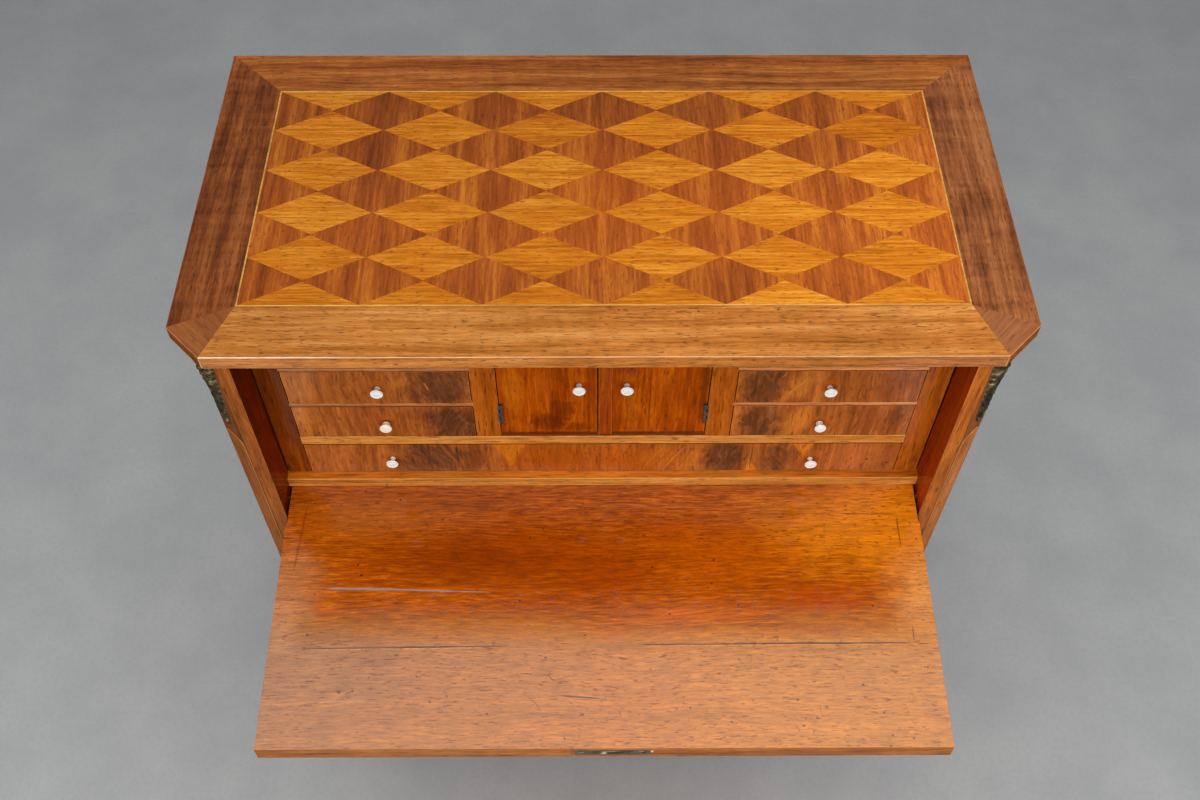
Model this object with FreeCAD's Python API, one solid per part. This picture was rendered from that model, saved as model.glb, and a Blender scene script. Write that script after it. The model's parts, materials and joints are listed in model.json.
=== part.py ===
import FreeCAD, Part
import math
import os

V = FreeCAD.Vector

# ---------------------------------------------------------------- dimensions, mm
# Depths (y) are counted back from the front edge of the top, heights (z) down from
# the top surface. place() moves every solid to the final frame at the end.

# overall
TOP_W = 800.0            # width of the top
TOP_D = 415.7            # depth of the top
TOP_T = 15.8             # thickness of the top, veneer included
TOP_CUT = 35.4           # 45 degree cut of the top's front corners
HEIGHT = 1030.0          # floor to top surface
FOOT_H = 120.0           # tapered feet below the case
FOOT_SCALE = 0.62        # size of a foot at the floor, against its post

# veneer on the top
VENEER_T = 0.6
BORDER_SIDE = 59.2       # edge of the top to the outside of the stringing
BORDER_BACK = 58.6
BORDER_FRONT = 60.2
STRING_W = 1.5
LOZENGES_X = 6
LOZENGES_Y = 5
TIP_GAP_X = 0.6          # half the gap between the tips of two light lozenges, sideways
TIP_GAP_Y = 0.7          # and front to back

# case
FRONT_Y = 12.6           # front face of the posts
SIDE_X = 384.6           # outer side face of the posts
POST_IN_X = 346.2        # inner face of the front posts
POST_CANT_X = 359.4      # where the front face turns into the cant
INNER_Y = 56.0           # front plane of the fitted interior, back of the front posts
REAR_POST = 40.0
CASE_BACK_Y = 405.7
PANEL_T = 20.0           # side panels
PANEL_SET_BACK = 3.0     # side panels behind the outer face of the posts
BACK_T = 8.0
BACK_Y = 396.0           # front face of the back panel
STRIP_W = 31.0           # raised strip on the cants
STRIP_T = 0.9
STRIP_TOP_Z = -158.5
STRIP_ROUND = 7.0        # rounding of its ends
STRIP_BOTTOM_Z = -860.0

# fitted interior
LEDGE_TOP_Z = -277.4     # top of the interior floor
LEDGE_Y = 46.2           # its front edge
LEDGE_T = 14.7
SIDE_STILE_X = 320.2     # inner face of the side uprights
PART_OUT_X = 133.0       # partitions
PART_IN_X = 107.5
SHELF_TOP_Z = -209.3
SHELF_BOT_Z = -223.5
THIN1_TOP_Z = -149.7     # thin shelf between the two small drawers
THIN2_TOP_Z = -90.5      # thin shelf over the upper small drawer
THIN_T = 4.5
INT_TOP_Z = -27.0        # underside of the interior top
INT_END_Y = 392.0

# interior drawers
DR_FRONT_T = 12.0
DR_SIDE_T = 6.0
DR_BACK_T = 6.0
DR_BOTTOM_T = 4.0
DR_END_Y = 380.0
DR_GAP = 0.9             # gap round a drawer front
# knobs: place (x), how far each has worked loose, height above the middle of its drawer
KNOB_UL, KNOB_LL = (-226.3, 0.0, 0.0), (-225.4, 1.2, -1.0)
KNOB_UR, KNOB_LR = (227.0, 0.0, 0.0), (225.2, 1.2, -2.5)
KNOB_LONG_L, KNOB_LONG_R = (-227.4, 0.0, 0.0), (224.8, 1.0, -1.8)
DOOR_KNOB_L, DOOR_KNOB_R = -24.4, 23.8
DOOR_KNOB_Z = -122.5

# interior doors
DOOR_Y = 59.0            # front face of the doors
DOOR_T = 12.0
DOOR_TOP_Z = -28.2
DOOR_BOT_Z = -208.5
DOOR_SIDE_GAP = 0.8
LEFT_DOOR_EDGE = -6.3    # meeting edge of the left door
STRIP_X0 = -5.0          # cover strip, on the right door
STRIP_X1 = 9.0
HINGE_H = 30.0
HINGE_LOW_Z = -184.5     # lower end of the lower hinges
HINGE_HIGH_Z = -82.2     # lower end of the upper hinges
KNUCKLE_R = 2.5
HPIN_R = 1.2
HINGE_AX_X = 104.7
HINGE_AX_Y = 56.2

# fall
FALL_TILT = 3.64         # degrees below level when open
FALL_HALF = 344.7
FALL_T = 19.6
FALL_VISIBLE = 292.4     # from the ledge to the leading edge
FALL_TUCK = 8.0          # beneath the ledge
PIVOT_Y = 37.1
PIVOT_Z = -301.4
PIVOT_BELOW = 8.0        # pivot below the writing surface
PIVOT_AHEAD = 9.63       # pivot ahead of the ledge, along the fall
CLEAT_W = 24.7
EDGE_LEAN = 2.2          # the leading edge leans out towards the outer face
LOCK_X = 8.0             # the lock sits a little right of centre
LOCK_PLATE_L = 75.0
LOCK_PLATE_W = 11.5
LOCK_PLATE_T = 2.0
LOCK_CASE_L = 60.0
LOCK_CASE_D = 36.0
LOCK_CASE_W = 11.0
BOLT_L = 22.0
BOLT_W = 6.0
BOLT_LONG = 28.0
BOLT_TRAVEL = 8.0
PPIN_R = 3.0             # pivot pin
PPIN_CLEAR = 0.05
BUSH_R = 5.5
BUSH_L = 10.0

# lower drawers
LOW_FRONT_Y = 25.5       # front plane of the lower drawers and rails
FALL_RAIL_TOP_Z = -323.5
RAIL_T = 18.0
RAIL_D = 50.0
BASE_T = 18.0
LOW_GAP = 1.5
LOW_FRONT_T = 20.0
LOW_SIDE_T = 10.0
LOW_BOTTOM_T = 6.0
LOW_END_Y = 385.0
LOW_KNOB_X = 215.0

# ---------------------------------------------------------------- derived
TILT = math.radians(FALL_TILT)
FALL_FRONT = FALL_VISIBLE - PIVOT_AHEAD      # pivot to leading edge, along the fall
FALL_REAR = FALL_TUCK + PIVOT_AHEAD          # pivot to rear edge
FRONT_MOST = min(
    PIVOT_Y - FALL_FRONT * math.cos(TILT) - PIVOT_BELOW * math.sin(TILT),
    PIVOT_Y - (FALL_FRONT + EDGE_LEAN) * math.cos(TILT) + (FALL_T - PIVOT_BELOW) * math.sin(TILT),
)
Y_ZERO = (TOP_D + FRONT_MOST) / 2.0          # middle of the open piece, front to back
PANEL_OUT_X = SIDE_X - PANEL_SET_BACK
PANEL_IN_X = PANEL_OUT_X - PANEL_T
REAR_IN_X = SIDE_X - REAR_POST
REAR_Y = CASE_BACK_Y - REAR_POST
CASE_BOT_Z = FOOT_H - HEIGHT
CANT_Y = FRONT_Y + (SIDE_X - POST_CANT_X)

nodes = {}


def place(solid):
    out = solid.copy()
    out.translate(V(0, -Y_ZERO, HEIGHT))
    return out


def put(name, *solids):
    nodes[name] = list(solids)


def box(x0, x1, y0, y1, z0, z1):
    x0, x1 = min(x0, x1), max(x0, x1)
    return Part.makeBox(x1 - x0, y1 - y0, z1 - z0, V(x0, y0, z0))


def prism(points, z0, z1):
    """Upright prism on a plan outline of (x, y) points."""
    ring = [V(x, y, z0) for x, y in points]
    face = Part.Face(Part.makePolygon(ring + ring[:1]))
    return face.extrude(V(0, 0, z1 - z0))


def skin(sections, split=False):
    """Closed solid through a row of sections with the same number of points."""
    faces = []
    n = len(sections[0])

    def face(points):
        return Part.Face(Part.makePolygon(list(points) + [points[0]]))

    faces.append(face(sections[0]))
    faces.append(face(sections[-1]))
    for low, high in zip(sections, sections[1:]):
        for i in range(n):
            k = (i + 1) % n
            if split:
                faces.append(face([low[i], low[k], high[k]]))
                faces.append(face([low[i], high[k], high[i]]))
            else:
                faces.append(face([low[i], low[k], high[k], high[i]]))
    solid = Part.Solid(Part.Shell(faces))
    if solid.Volume < 0:
        solid.reverse()
    return solid


def turned(profile, at, axis):
    """Solid of revolution: profile is (radius, height along axis) from the base out."""
    pts = [V(r, 0, h) for r, h in profile]
    if profile[0][0] > 0:
        pts = [V(0, 0, profile[0][1])] + pts
    if profile[-1][0] > 0:
        pts = pts + [V(0, 0, profile[-1][1])]
    face = Part.Face(Part.makePolygon(pts + pts[:1]))
    solid = face.revolve(V(0, 0, 0), V(0, 0, 1), 360)
    solid.Placement = FreeCAD.Placement(V(*at), FreeCAD.Rotation(V(0, 0, 1), V(*axis)))
    return solid


def mirror_x(solid):
    return solid.mirror(V(0, 0, 0), V(1, 0, 0))


def both(solid):
    return solid, mirror_x(solid)


def cylinder(r, length, at, axis):
    return Part.makeCylinder(r, length, V(*at), V(*axis))


def clip(points, x0, x1, y0, y1):
    """A convex plan outline cut to a rectangle."""
    for inside, cross in (
        (lambda p: p[0] >= x0, lambda a, b: (x0, a[1] + (b[1] - a[1]) * (x0 - a[0]) / (b[0] - a[0]))),
        (lambda p: p[0] <= x1, lambda a, b: (x1, a[1] + (b[1] - a[1]) * (x1 - a[0]) / (b[0] - a[0]))),
        (lambda p: p[1] >= y0, lambda a, b: (a[0] + (b[0] - a[0]) * (y0 - a[1]) / (b[1] - a[1]), y0)),
        (lambda p: p[1] <= y1, lambda a, b: (a[0] + (b[0] - a[0]) * (y1 - a[1]) / (b[1] - a[1]), y1)),
    ):
        out = []
        for i, p in enumerate(points):
            q = points[(i + 1) % len(points)]
            if inside(p):
                out.append(p)
                if not inside(q):
                    out.append(cross(p, q))
            elif inside(q):
                out.append(cross(p, q))
        points = out
    clean = []
    for p in points:
        if not clean or math.dist(p, clean[-1]) > 1e-6:
            clean.append(p)
    if len(clean) > 1 and math.dist(clean[0], clean[-1]) < 1e-6:
        clean.pop()
    return clean


# ---------------------------------------------------------------- top
hw = TOP_W / 2
core = prism(
    [(-hw + TOP_CUT, 0), (hw - TOP_CUT, 0), (hw, TOP_CUT), (hw, TOP_D), (-hw, TOP_D), (-hw, TOP_CUT)],
    -TOP_T, -VENEER_T,
)
# mortise for the bolt, and a recess for its keep, in the underside
KEEP_Y = PIVOT_Y + PIVOT_BELOW - FALL_T / 2
KEEP_T = 1.5
core = core.cut(box(LOCK_X - 24, LOCK_X + 24, KEEP_Y - 7, KEEP_Y + 7, -TOP_T, -TOP_T + KEEP_T))
core = core.cut(box(LOCK_X - 12.5, LOCK_X + 12.5, KEEP_Y - 4.2, KEEP_Y + 4.2, -TOP_T, -TOP_T + 10))
put("top_board", core)
keep = box(LOCK_X - 24, LOCK_X + 24, KEEP_Y - 7, KEEP_Y + 7, -TOP_T, -TOP_T + KEEP_T)
keep = keep.cut(box(LOCK_X - 12.5, LOCK_X + 12.5, KEEP_Y - 4.2, KEEP_Y + 4.2, -TOP_T - 1, -TOP_T + 3))
put("lock_keep", keep)

# border veneer: outer outline and the outside of the stringing
bx = hw - BORDER_SIDE
by0, by1 = BORDER_FRONT, TOP_D - BORDER_BACK
front = prism([(-bx, by0), (-hw + TOP_CUT, 0), (hw - TOP_CUT, 0), (bx, by0)], -VENEER_T, 0)
back = prism([(-hw, TOP_D), (-bx, by1), (bx, by1), (hw, TOP_D)], -VENEER_T, 0)
side = prism([(bx, by0), (hw, TOP_CUT), (hw, TOP_D), (bx, by1)], -VENEER_T, 0)
corner = prism([(bx, by0), (hw - TOP_CUT, 0), (hw, TOP_CUT)], -VENEER_T, 0)
put("top_border_veneer", front, back, *both(side), *both(corner))

# stringing, mitred at the corners
fx = bx - STRING_W
fy0, fy1 = by0 + STRING_W, by1 - STRING_W
put(
    "top_stringing",
    prism([(-bx, by0), (bx, by0), (fx, fy0), (-fx, fy0)], -VENEER_T, 0),
    prism([(-bx, by1), (-fx, fy1), (fx, fy1), (bx, by1)], -VENEER_T, 0),
    *both(prism([(bx, by0), (bx, by1), (fx, fy1), (fx, fy0)], -VENEER_T, 0)),
)

# lozenges
px = 2 * fx / LOZENGES_X
py = (fy1 - fy0) / LOZENGES_Y
light, dark = [], []
for j in range(LOZENGES_Y + 1):
    for i in range(LOZENGES_X):
        cx, cy = -fx + (i + 0.5) * px, fy0 + j * py
        a, b = px / 2 - TIP_GAP_X, py / 2 - TIP_GAP_Y
        ring = clip([(cx - a, cy), (cx, cy - b), (cx + a, cy), (cx, cy + b)], -fx, fx, fy0, fy1)
        light.append(prism(ring, -VENEER_T, 0))
for j in range(LOZENGES_Y):
    for i in range(LOZENGES_X + 1):
        cx, cy = -fx + i * px, fy0 + (j + 0.5) * py
        a, b, g, h = px / 2, py / 2, TIP_GAP_X, TIP_GAP_Y
        ring = [
            (cx - a, cy - h), (cx - g, cy - b), (cx + g, cy - b), (cx + a, cy - h),
            (cx + a, cy + h), (cx + g, cy + b), (cx - g, cy + b), (cx - a, cy + h),
        ]
        dark.append(prism(clip(ring, -fx, fx, fy0, fy1), -VENEER_T, 0))
put("top_lozenges_light", *light)
put("top_lozenges_dark", *dark)

# ---------------------------------------------------------------- posts and feet
outline = [
    (POST_IN_X, FRONT_Y), (POST_CANT_X, FRONT_Y), (SIDE_X, CANT_Y),
    (SIDE_X, INNER_Y), (POST_IN_X, INNER_Y),
]


def post(points):
    cx = (min(p[0] for p in points) + max(p[0] for p in points)) / 2
    cy = (min(p[1] for p in points) + max(p[1] for p in points)) / 2

    def ring(scale, z):
        return [V(cx + (x - cx) * scale, cy + (y - cy) * scale, z) for x, y in points]

    return skin([ring(FOOT_SCALE, -HEIGHT), ring(1, CASE_BOT_Z), ring(1, -TOP_T)])


front_post = post(outline)
socket_hole = cylinder(BUSH_R, BUSH_L, (POST_IN_X, PIVOT_Y, PIVOT_Z), (1, 0, 0))
front_post = front_post.cut(socket_hole)
put("front_posts", *both(front_post))
rear_post = post([(REAR_IN_X, REAR_Y), (SIDE_X, REAR_Y), (SIDE_X, CASE_BACK_Y), (REAR_IN_X, CASE_BACK_Y)])
put("rear_posts", *both(rear_post))

bush = cylinder(BUSH_R, BUSH_L, (POST_IN_X, PIVOT_Y, PIVOT_Z), (1, 0, 0))
bush = bush.cut(cylinder(PPIN_R + PPIN_CLEAR, BUSH_L + 2, (POST_IN_X - 1, PIVOT_Y, PIVOT_Z), (1, 0, 0)))
put("fall_pivot_sockets", *both(bush))

# cants: u runs along the cant, w stands out from it
CANT_MID = ((POST_CANT_X + SIDE_X) / 2, (FRONT_Y + CANT_Y) / 2)
R2 = math.sqrt(0.5)


def on_cant(u, w, z):
    return V(CANT_MID[0] + (u + w) * R2, CANT_MID[1] + (u - w) * R2, z)


# thin raised strip with rounded ends, almost as wide as the cant
def strip_ring(inset):
    half, top, bottom = STRIP_W / 2 - inset, STRIP_TOP_Z - inset, STRIP_BOTTOM_Z + inset
    r = STRIP_ROUND - inset
    ring = []
    for u, z, start in ((half - r, top - r, 0), (-half + r, top - r, 90), (-half + r, bottom + r, 180), (half - r, bottom + r, 270)):
        for k in range(5):
            a = math.radians(start + 22.5 * k)
            ring.append((u + r * math.cos(a), z + r * math.sin(a)))
    return ring


cant_strip = skin([
    [on_cant(u, 0, z) for u, z in strip_ring(0)],
    [on_cant(u, STRIP_T, z) for u, z in strip_ring(STRIP_T * 0.7)],
], split=True)
put("cant_strips", *both(cant_strip))

# bronze corner mounts: broad under the top, running down to a point
mount_rows = [
    # z, half width, stand-out
    (-TOP_T, 15.5, 8.0), (-28.0, 16.0, 9.6), (-38.0, 15.2, 9.2), (-50.0, 13.2, 8.3),
    (-80.0, 10.4, 6.2), (-108.0, 7.2, 5.7), (-128.0, 4.6, 5.2), (-137.5, 1.6, 3.0),
]
rows = []
for z, wide, out in mount_rows:
    rows.append([
        on_cant(-wide, 0, z), on_cant(-wide * 0.8, out * 0.6, z), on_cant(-wide * 0.3, out, z),
        on_cant(wide * 0.3, out, z), on_cant(wide * 0.8, out * 0.6, z), on_cant(wide, 0, z),
    ])
put("corner_mounts", *both(skin(rows, split=True)))

# ---------------------------------------------------------------- case boards
put("side_panels", *both(box(PANEL_IN_X, PANEL_OUT_X, INNER_Y, REAR_Y, CASE_BOT_Z, -TOP_T)))
put("back_panel", box(-REAR_IN_X, REAR_IN_X, BACK_Y, BACK_Y + BACK_T, CASE_BOT_Z, -TOP_T))


def deck(y_front, z0, z1):
    """Board that fills the case, let in round the posts."""
    board = box(-PANEL_IN_X, PANEL_IN_X, INNER_Y, REAR_Y, z0, z1)
    if y_front < INNER_Y:
        board = board.fuse(box(-POST_IN_X, POST_IN_X, y_front, INNER_Y, z0, z1))
    board = board.fuse(box(-REAR_IN_X, REAR_IN_X, REAR_Y, BACK_Y, z0, z1))
    return board.removeSplitter()


base_top = CASE_BOT_Z + BASE_T
put("base_board", deck(LOW_FRONT_Y, CASE_BOT_Z, base_top))
put("interior_floor", deck(LEDGE_Y, LEDGE_TOP_Z - LEDGE_T, LEDGE_TOP_Z))
put("interior_top", deck(INNER_Y, INT_TOP_Z, -TOP_T))

fall_rail_bot = FALL_RAIL_TOP_Z - RAIL_T
bay = (fall_rail_bot - base_top - 2 * RAIL_T) / 3      # clear height of a lower drawer
levels = [base_top, base_top + bay + RAIL_T, base_top + 2 * (bay + RAIL_T)]
rails = [box(-POST_IN_X, POST_IN_X, LOW_FRONT_Y, LOW_FRONT_Y + RAIL_D, FALL_RAIL_TOP_Z - RAIL_T, FALL_RAIL_TOP_Z)]
for level in levels[1:]:
    rails.append(box(-POST_IN_X, POST_IN_X, LOW_FRONT_Y, LOW_FRONT_Y + RAIL_D, level - RAIL_T, level))
put("case_rails", *rails)

runners = []
for n, level in enumerate(levels):
    if n:
        runners += both(box(322.0, PANEL_IN_X, LOW_FRONT_Y + RAIL_D, REAR_Y, level - 14.0, level))
    runners += both(box(POST_IN_X, PANEL_IN_X, INNER_Y, REAR_Y, level, level + 25.0))
put("drawer_runners", *runners)

# ---------------------------------------------------------------- fitted interior
put("interior_side_uprights", *both(box(SIDE_STILE_X, POST_IN_X, INNER_Y, REAR_Y, LEDGE_TOP_Z, INT_TOP_Z)))
put("interior_shelf", box(-SIDE_STILE_X, SIDE_STILE_X, INNER_Y, INT_END_Y, SHELF_BOT_Z, SHELF_TOP_Z))
partition = box(PART_IN_X, PART_OUT_X, INNER_Y, INT_END_Y, SHELF_TOP_Z, INT_TOP_Z)
LEAF_T = 1.0
for z in (HINGE_LOW_Z, HINGE_HIGH_Z):
    partition = partition.cut(box(PART_IN_X, PART_IN_X + LEAF_T, INNER_Y, 70.0, z, z + HINGE_H))
put("interior_partitions", *both(partition))
thin = []
for z in (THIN1_TOP_Z, THIN2_TOP_Z):
    thin += both(box(PART_OUT_X, SIDE_STILE_X, INNER_Y, INT_END_Y, z - THIN_T, z))
put("interior_thin_shelves", *thin)

# ---------------------------------------------------------------- small white knobs
WHITE_KNOB = [
    (1.95, -8.0), (1.95, 0.0), (2.9, 0.0), (3.0, 0.8), (2.4, 1.6), (2.15, 3.2), (2.35, 5.0), (3.0, 6.3),
    (5.2, 7.0), (6.4, 7.6), (6.5, 8.0), (6.2, 8.5), (4.0, 9.0),
]


def white_knob(x, y, z):
    return turned(WHITE_KNOB, (x, y, z), (0, -1, 0))


def knob_hole(x, y, z):
    return cylinder(2.0, 9.0, (x, y - 0.5, z), (0, 1, 0))


# ---------------------------------------------------------------- drawers
def drawer(x0, x1, z0, z1, y, gap, front_t, side_t, back_t, bottom_t, y_end, holes, low):
    """Drawer for the opening x0..x1, z0..z1: the front board, then the box boards."""
    fx0, fx1, fz0, fz1 = x0 + gap, x1 - gap, z0 + gap * 0.7, z1 - gap
    face = box(fx0, fx1, y, y + front_t, fz0, fz1)
    for hole in holes:
        face = face.cut(hole)
    yb = y + front_t
    top = fz1 - low
    bx0, bx1 = fx0 + 0.4, fx1 - 0.4
    boards = [
        box(bx0, bx0 + side_t, yb, y_end, fz0, top),
        box(bx1 - side_t, bx1, yb, y_end, fz0, top),
        box(bx0 + side_t, bx1 - side_t, y_end - back_t, y_end, fz0, top),
        box(bx0 + side_t, bx1 - side_t, yb, y_end - back_t, fz0, fz0 + bottom_t),
    ]
    return face, boards


def small_drawer(name, x0, x1, z0, z1, knobs):
    zm = (z0 + z1) / 2
    face, boards = drawer(
        x0, x1, z0, z1, INNER_Y, DR_GAP, DR_FRONT_T, DR_SIDE_T, DR_BACK_T, DR_BOTTOM_T, DR_END_Y,
        [knob_hole(x, INNER_Y, zm + up) for x, out, up in knobs], 4.0,
    )
    put(name + "_front", face)
    put(name + "_box", *boards)
    put(name + ("_knob" if len(knobs) == 1 else "_knobs"), *[white_knob(x, INNER_Y - out, zm + up) for x, out, up in knobs])


upper = (THIN1_TOP_Z, THIN2_TOP_Z - THIN_T)
lower = (SHELF_TOP_Z, THIN1_TOP_Z - THIN_T)
small_drawer("upper_left_drawer", -SIDE_STILE_X, -PART_OUT_X, *upper, [KNOB_UL])
small_drawer("lower_left_drawer", -SIDE_STILE_X, -PART_OUT_X, *lower, [KNOB_LL])
small_drawer("upper_right_drawer", PART_OUT_X, SIDE_STILE_X, *upper, [KNOB_UR])
small_drawer("lower_right_drawer", PART_OUT_X, SIDE_STILE_X, *lower, [KNOB_LR])
small_drawer("long_drawer", -SIDE_STILE_X, SIDE_STILE_X, LEDGE_TOP_Z, SHELF_BOT_Z, [KNOB_LONG_L, KNOB_LONG_R])

# turned brass knob on a round plate; its screw passes the drawer front
BRASS_KNOB = [
    (3.0, -22.0), (3.0, 3.2), (8.0, 3.2), (8.0, 5.0), (6.0, 6.6), (5.4, 11.0), (6.6, 14.0),
    (11.0, 16.0), (13.4, 19.0), (13.8, 22.0), (12.4, 25.6), (8.6, 28.4), (3.4, 29.6),
]
ROSETTE = [(21.0, 0.0), (21.0, 1.0), (19.0, 2.2), (16.0, 2.4), (14.0, 3.2)]
names = ["bottom_drawer", "middle_drawer", "top_drawer"]
for name, level in zip(names, levels):
    zm = level + bay / 2
    xs = [-LOW_KNOB_X, LOW_KNOB_X]
    face, boards = drawer(
        -POST_IN_X, POST_IN_X, level, level + bay, LOW_FRONT_Y, LOW_GAP, LOW_FRONT_T, LOW_SIDE_T, LOW_SIDE_T,
        LOW_BOTTOM_T, LOW_END_Y, [cylinder(3.05, LOW_FRONT_T + 2, (x, LOW_FRONT_Y - 1, zm), (0, 1, 0)) for x in xs], 14.0,
    )
    put(name + "_front", face)
    put(name + "_box", *boards)
    brass = []
    for x in xs:
        plate = turned(ROSETTE, (x, LOW_FRONT_Y, zm), (0, -1, 0))
        plate = plate.cut(cylinder(3.05, 8, (x, LOW_FRONT_Y + 1, zm), (0, -1, 0)))
        brass += [plate, turned(BRASS_KNOB, (x, LOW_FRONT_Y, zm), (0, -1, 0))]
    put(name + "_knobs", *brass)

# ---------------------------------------------------------------- interior doors
pitch = HINGE_H / 5


def hinge_parts(z):
    """Right-hand butt hinge standing on z: case leaf, pin, door leaf."""
    leaf = box(PART_IN_X, PART_IN_X + LEAF_T, INNER_Y, 70.0, z, z + HINGE_H)
    door = box(PART_IN_X - DOOR_SIDE_GAP - LEAF_T, PART_IN_X - DOOR_SIDE_GAP, DOOR_Y, DOOR_Y + 11.0, z, z + HINGE_H)
    for k in range(5):
        z0, z1 = z + k * pitch, z + (k + 1) * pitch
        if k % 2 == 0:
            leaf = leaf.fuse(cylinder(KNUCKLE_R, z1 - z0, (HINGE_AX_X, HINGE_AX_Y, z0), (0, 0, 1)))
            leaf = leaf.fuse(box(HINGE_AX_X, PART_IN_X + LEAF_T, INNER_Y, INNER_Y + 1.2, z0, z1))
        else:
            z0, z1 = z0 + 0.15, z1 - 0.15
            door = door.fuse(cylinder(KNUCKLE_R, z1 - z0, (HINGE_AX_X, HINGE_AX_Y, z0), (0, 0, 1)))
            door = door.fuse(box(HINGE_AX_X + 0.9, PART_IN_X - DOOR_SIDE_GAP, HINGE_AX_Y, DOOR_Y, z0, z1))
    hole = cylinder(HPIN_R + 0.02, HINGE_H + 2, (HINGE_AX_X, HINGE_AX_Y, z - 1), (0, 0, 1))
    wide = cylinder(HPIN_R + 0.06, HINGE_H + 2, (HINGE_AX_X, HINGE_AX_Y, z - 1), (0, 0, 1))
    pin = turned([(HPIN_R, -0.4), (HPIN_R, HINGE_H), (1.9, HINGE_H), (1.9, HINGE_H + 0.8), (1.0, HINGE_H + 1.4)],
                 (HINGE_AX_X, HINGE_AX_Y, z), (0, 0, 1))
    return leaf.cut(hole).removeSplitter(), pin, door.cut(wide).removeSplitter()


low_hinge, high_hinge = hinge_parts(HINGE_LOW_Z), hinge_parts(HINGE_HIGH_Z)
put("door_hinge_case_leaves", *[s for part in (low_hinge, high_hinge) for piece in part[:2] for s in both(piece)])
put("right_door_hinge_leaves", low_hinge[2], high_hinge[2])
put("left_door_hinge_leaves", mirror_x(low_hinge[2]), mirror_x(high_hinge[2]))

edge_x = PART_IN_X - DOOR_SIDE_GAP
right_door = box(STRIP_X0, edge_x, DOOR_Y, DOOR_Y + DOOR_T, DOOR_BOT_Z, DOOR_TOP_Z)
left_door = box(-edge_x, LEFT_DOOR_EDGE, DOOR_Y, DOOR_Y + DOOR_T, DOOR_BOT_Z, DOOR_TOP_Z)
for z in (HINGE_LOW_Z, HINGE_HIGH_Z):
    notch = box(edge_x - LEAF_T, edge_x, DOOR_Y, DOOR_Y + 11.0, z, z + HINGE_H)
    right_door = right_door.cut(notch)
    left_door = left_door.cut(mirror_x(notch))
left_door = left_door.cut(knob_hole(DOOR_KNOB_L, DOOR_Y, DOOR_KNOB_Z))
right_door = right_door.cut(knob_hole(DOOR_KNOB_R, DOOR_Y, DOOR_KNOB_Z))
put("left_door", left_door)
put("right_door", right_door)
put("right_door_strip", box(STRIP_X0, STRIP_X1, INNER_Y, DOOR_Y, DOOR_BOT_Z, DOOR_TOP_Z))
put("left_door_knob", white_knob(DOOR_KNOB_L, DOOR_Y, DOOR_KNOB_Z))
put("right_door_knob", white_knob(DOOR_KNOB_R, DOOR_Y, DOOR_KNOB_Z))

# ---------------------------------------------------------------- fall
# drawn level, then turned about the pivot to its open slope
f_top = PIVOT_Z + PIVOT_BELOW
f_bot = f_top - FALL_T
f_front = PIVOT_Y - FALL_FRONT
f_rear = PIVOT_Y + FALL_REAR
f_mid = (f_top + f_bot) / 2


def slope(solid):
    out = solid.copy()
    out.rotate(V(0, PIVOT_Y, PIVOT_Z), V(1, 0, 0), FALL_TILT)
    return out


def along_x(points, x0, x1):
    """Prism along x on an outline of (y, z) points."""
    ring = [V(x0, y, z) for y, z in points]
    return Part.Face(Part.makePolygon(ring + ring[:1])).extrude(V(x1 - x0, 0, 0))


def lean(z):
    """Place of the leading edge at a height of the level fall."""
    return f_front - EDGE_LEAN * (f_top - z) / FALL_T


fall_section = [(f_front, f_top), (f_rear, f_top), (f_rear, f_bot), (lean(f_bot), f_bot)]
panel = along_x(fall_section, -FALL_HALF + CLEAT_W, FALL_HALF - CLEAT_W)
p_top, p_bot = f_mid + LOCK_PLATE_W / 2, f_mid - LOCK_PLATE_W / 2
plate_box = along_x(
    [(lean(p_top), p_top), (f_front + LOCK_PLATE_T, p_top), (f_front + LOCK_PLATE_T, p_bot), (lean(p_bot), p_bot)],
    LOCK_X - LOCK_PLATE_L / 2, LOCK_X + LOCK_PLATE_L / 2,
)
case_box = box(LOCK_X - LOCK_CASE_L / 2, LOCK_X + LOCK_CASE_L / 2, f_front + LOCK_PLATE_T, f_front + LOCK_PLATE_T + LOCK_CASE_D,
               f_mid - LOCK_CASE_W / 2, f_mid + LOCK_CASE_W / 2)
key_y = f_front + 22.0
keyway = cylinder(2.6, 12.0, (LOCK_X, key_y, f_bot - 2.0), (0, 0, 1))
keyway = keyway.fuse(box(LOCK_X - 1.4, LOCK_X + 1.4, key_y, key_y + 9.0, f_bot - 2.0, f_bot + 10.0))
panel = panel.cut(plate_box).cut(case_box).cut(keyway)
put("fall_panel", slope(panel))

cleat = along_x(fall_section, FALL_HALF - CLEAT_W, FALL_HALF)
arm_box = box(FALL_HALF - 2.5, FALL_HALF, PIVOT_Y - 42.0, PIVOT_Y + 12.0, PIVOT_Z - 6.5, PIVOT_Z + 6.5)
cleat = cleat.cut(arm_box)
put("fall_cleats", *[slope(s) for s in both(cleat)])
arm = arm_box.fuse(cylinder(PPIN_R, POST_IN_X + 9.0 - FALL_HALF, (FALL_HALF, PIVOT_Y, PIVOT_Z), (1, 0, 0)))
put("fall_pivot_arms", *[slope(s) for s in both(arm)])

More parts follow.
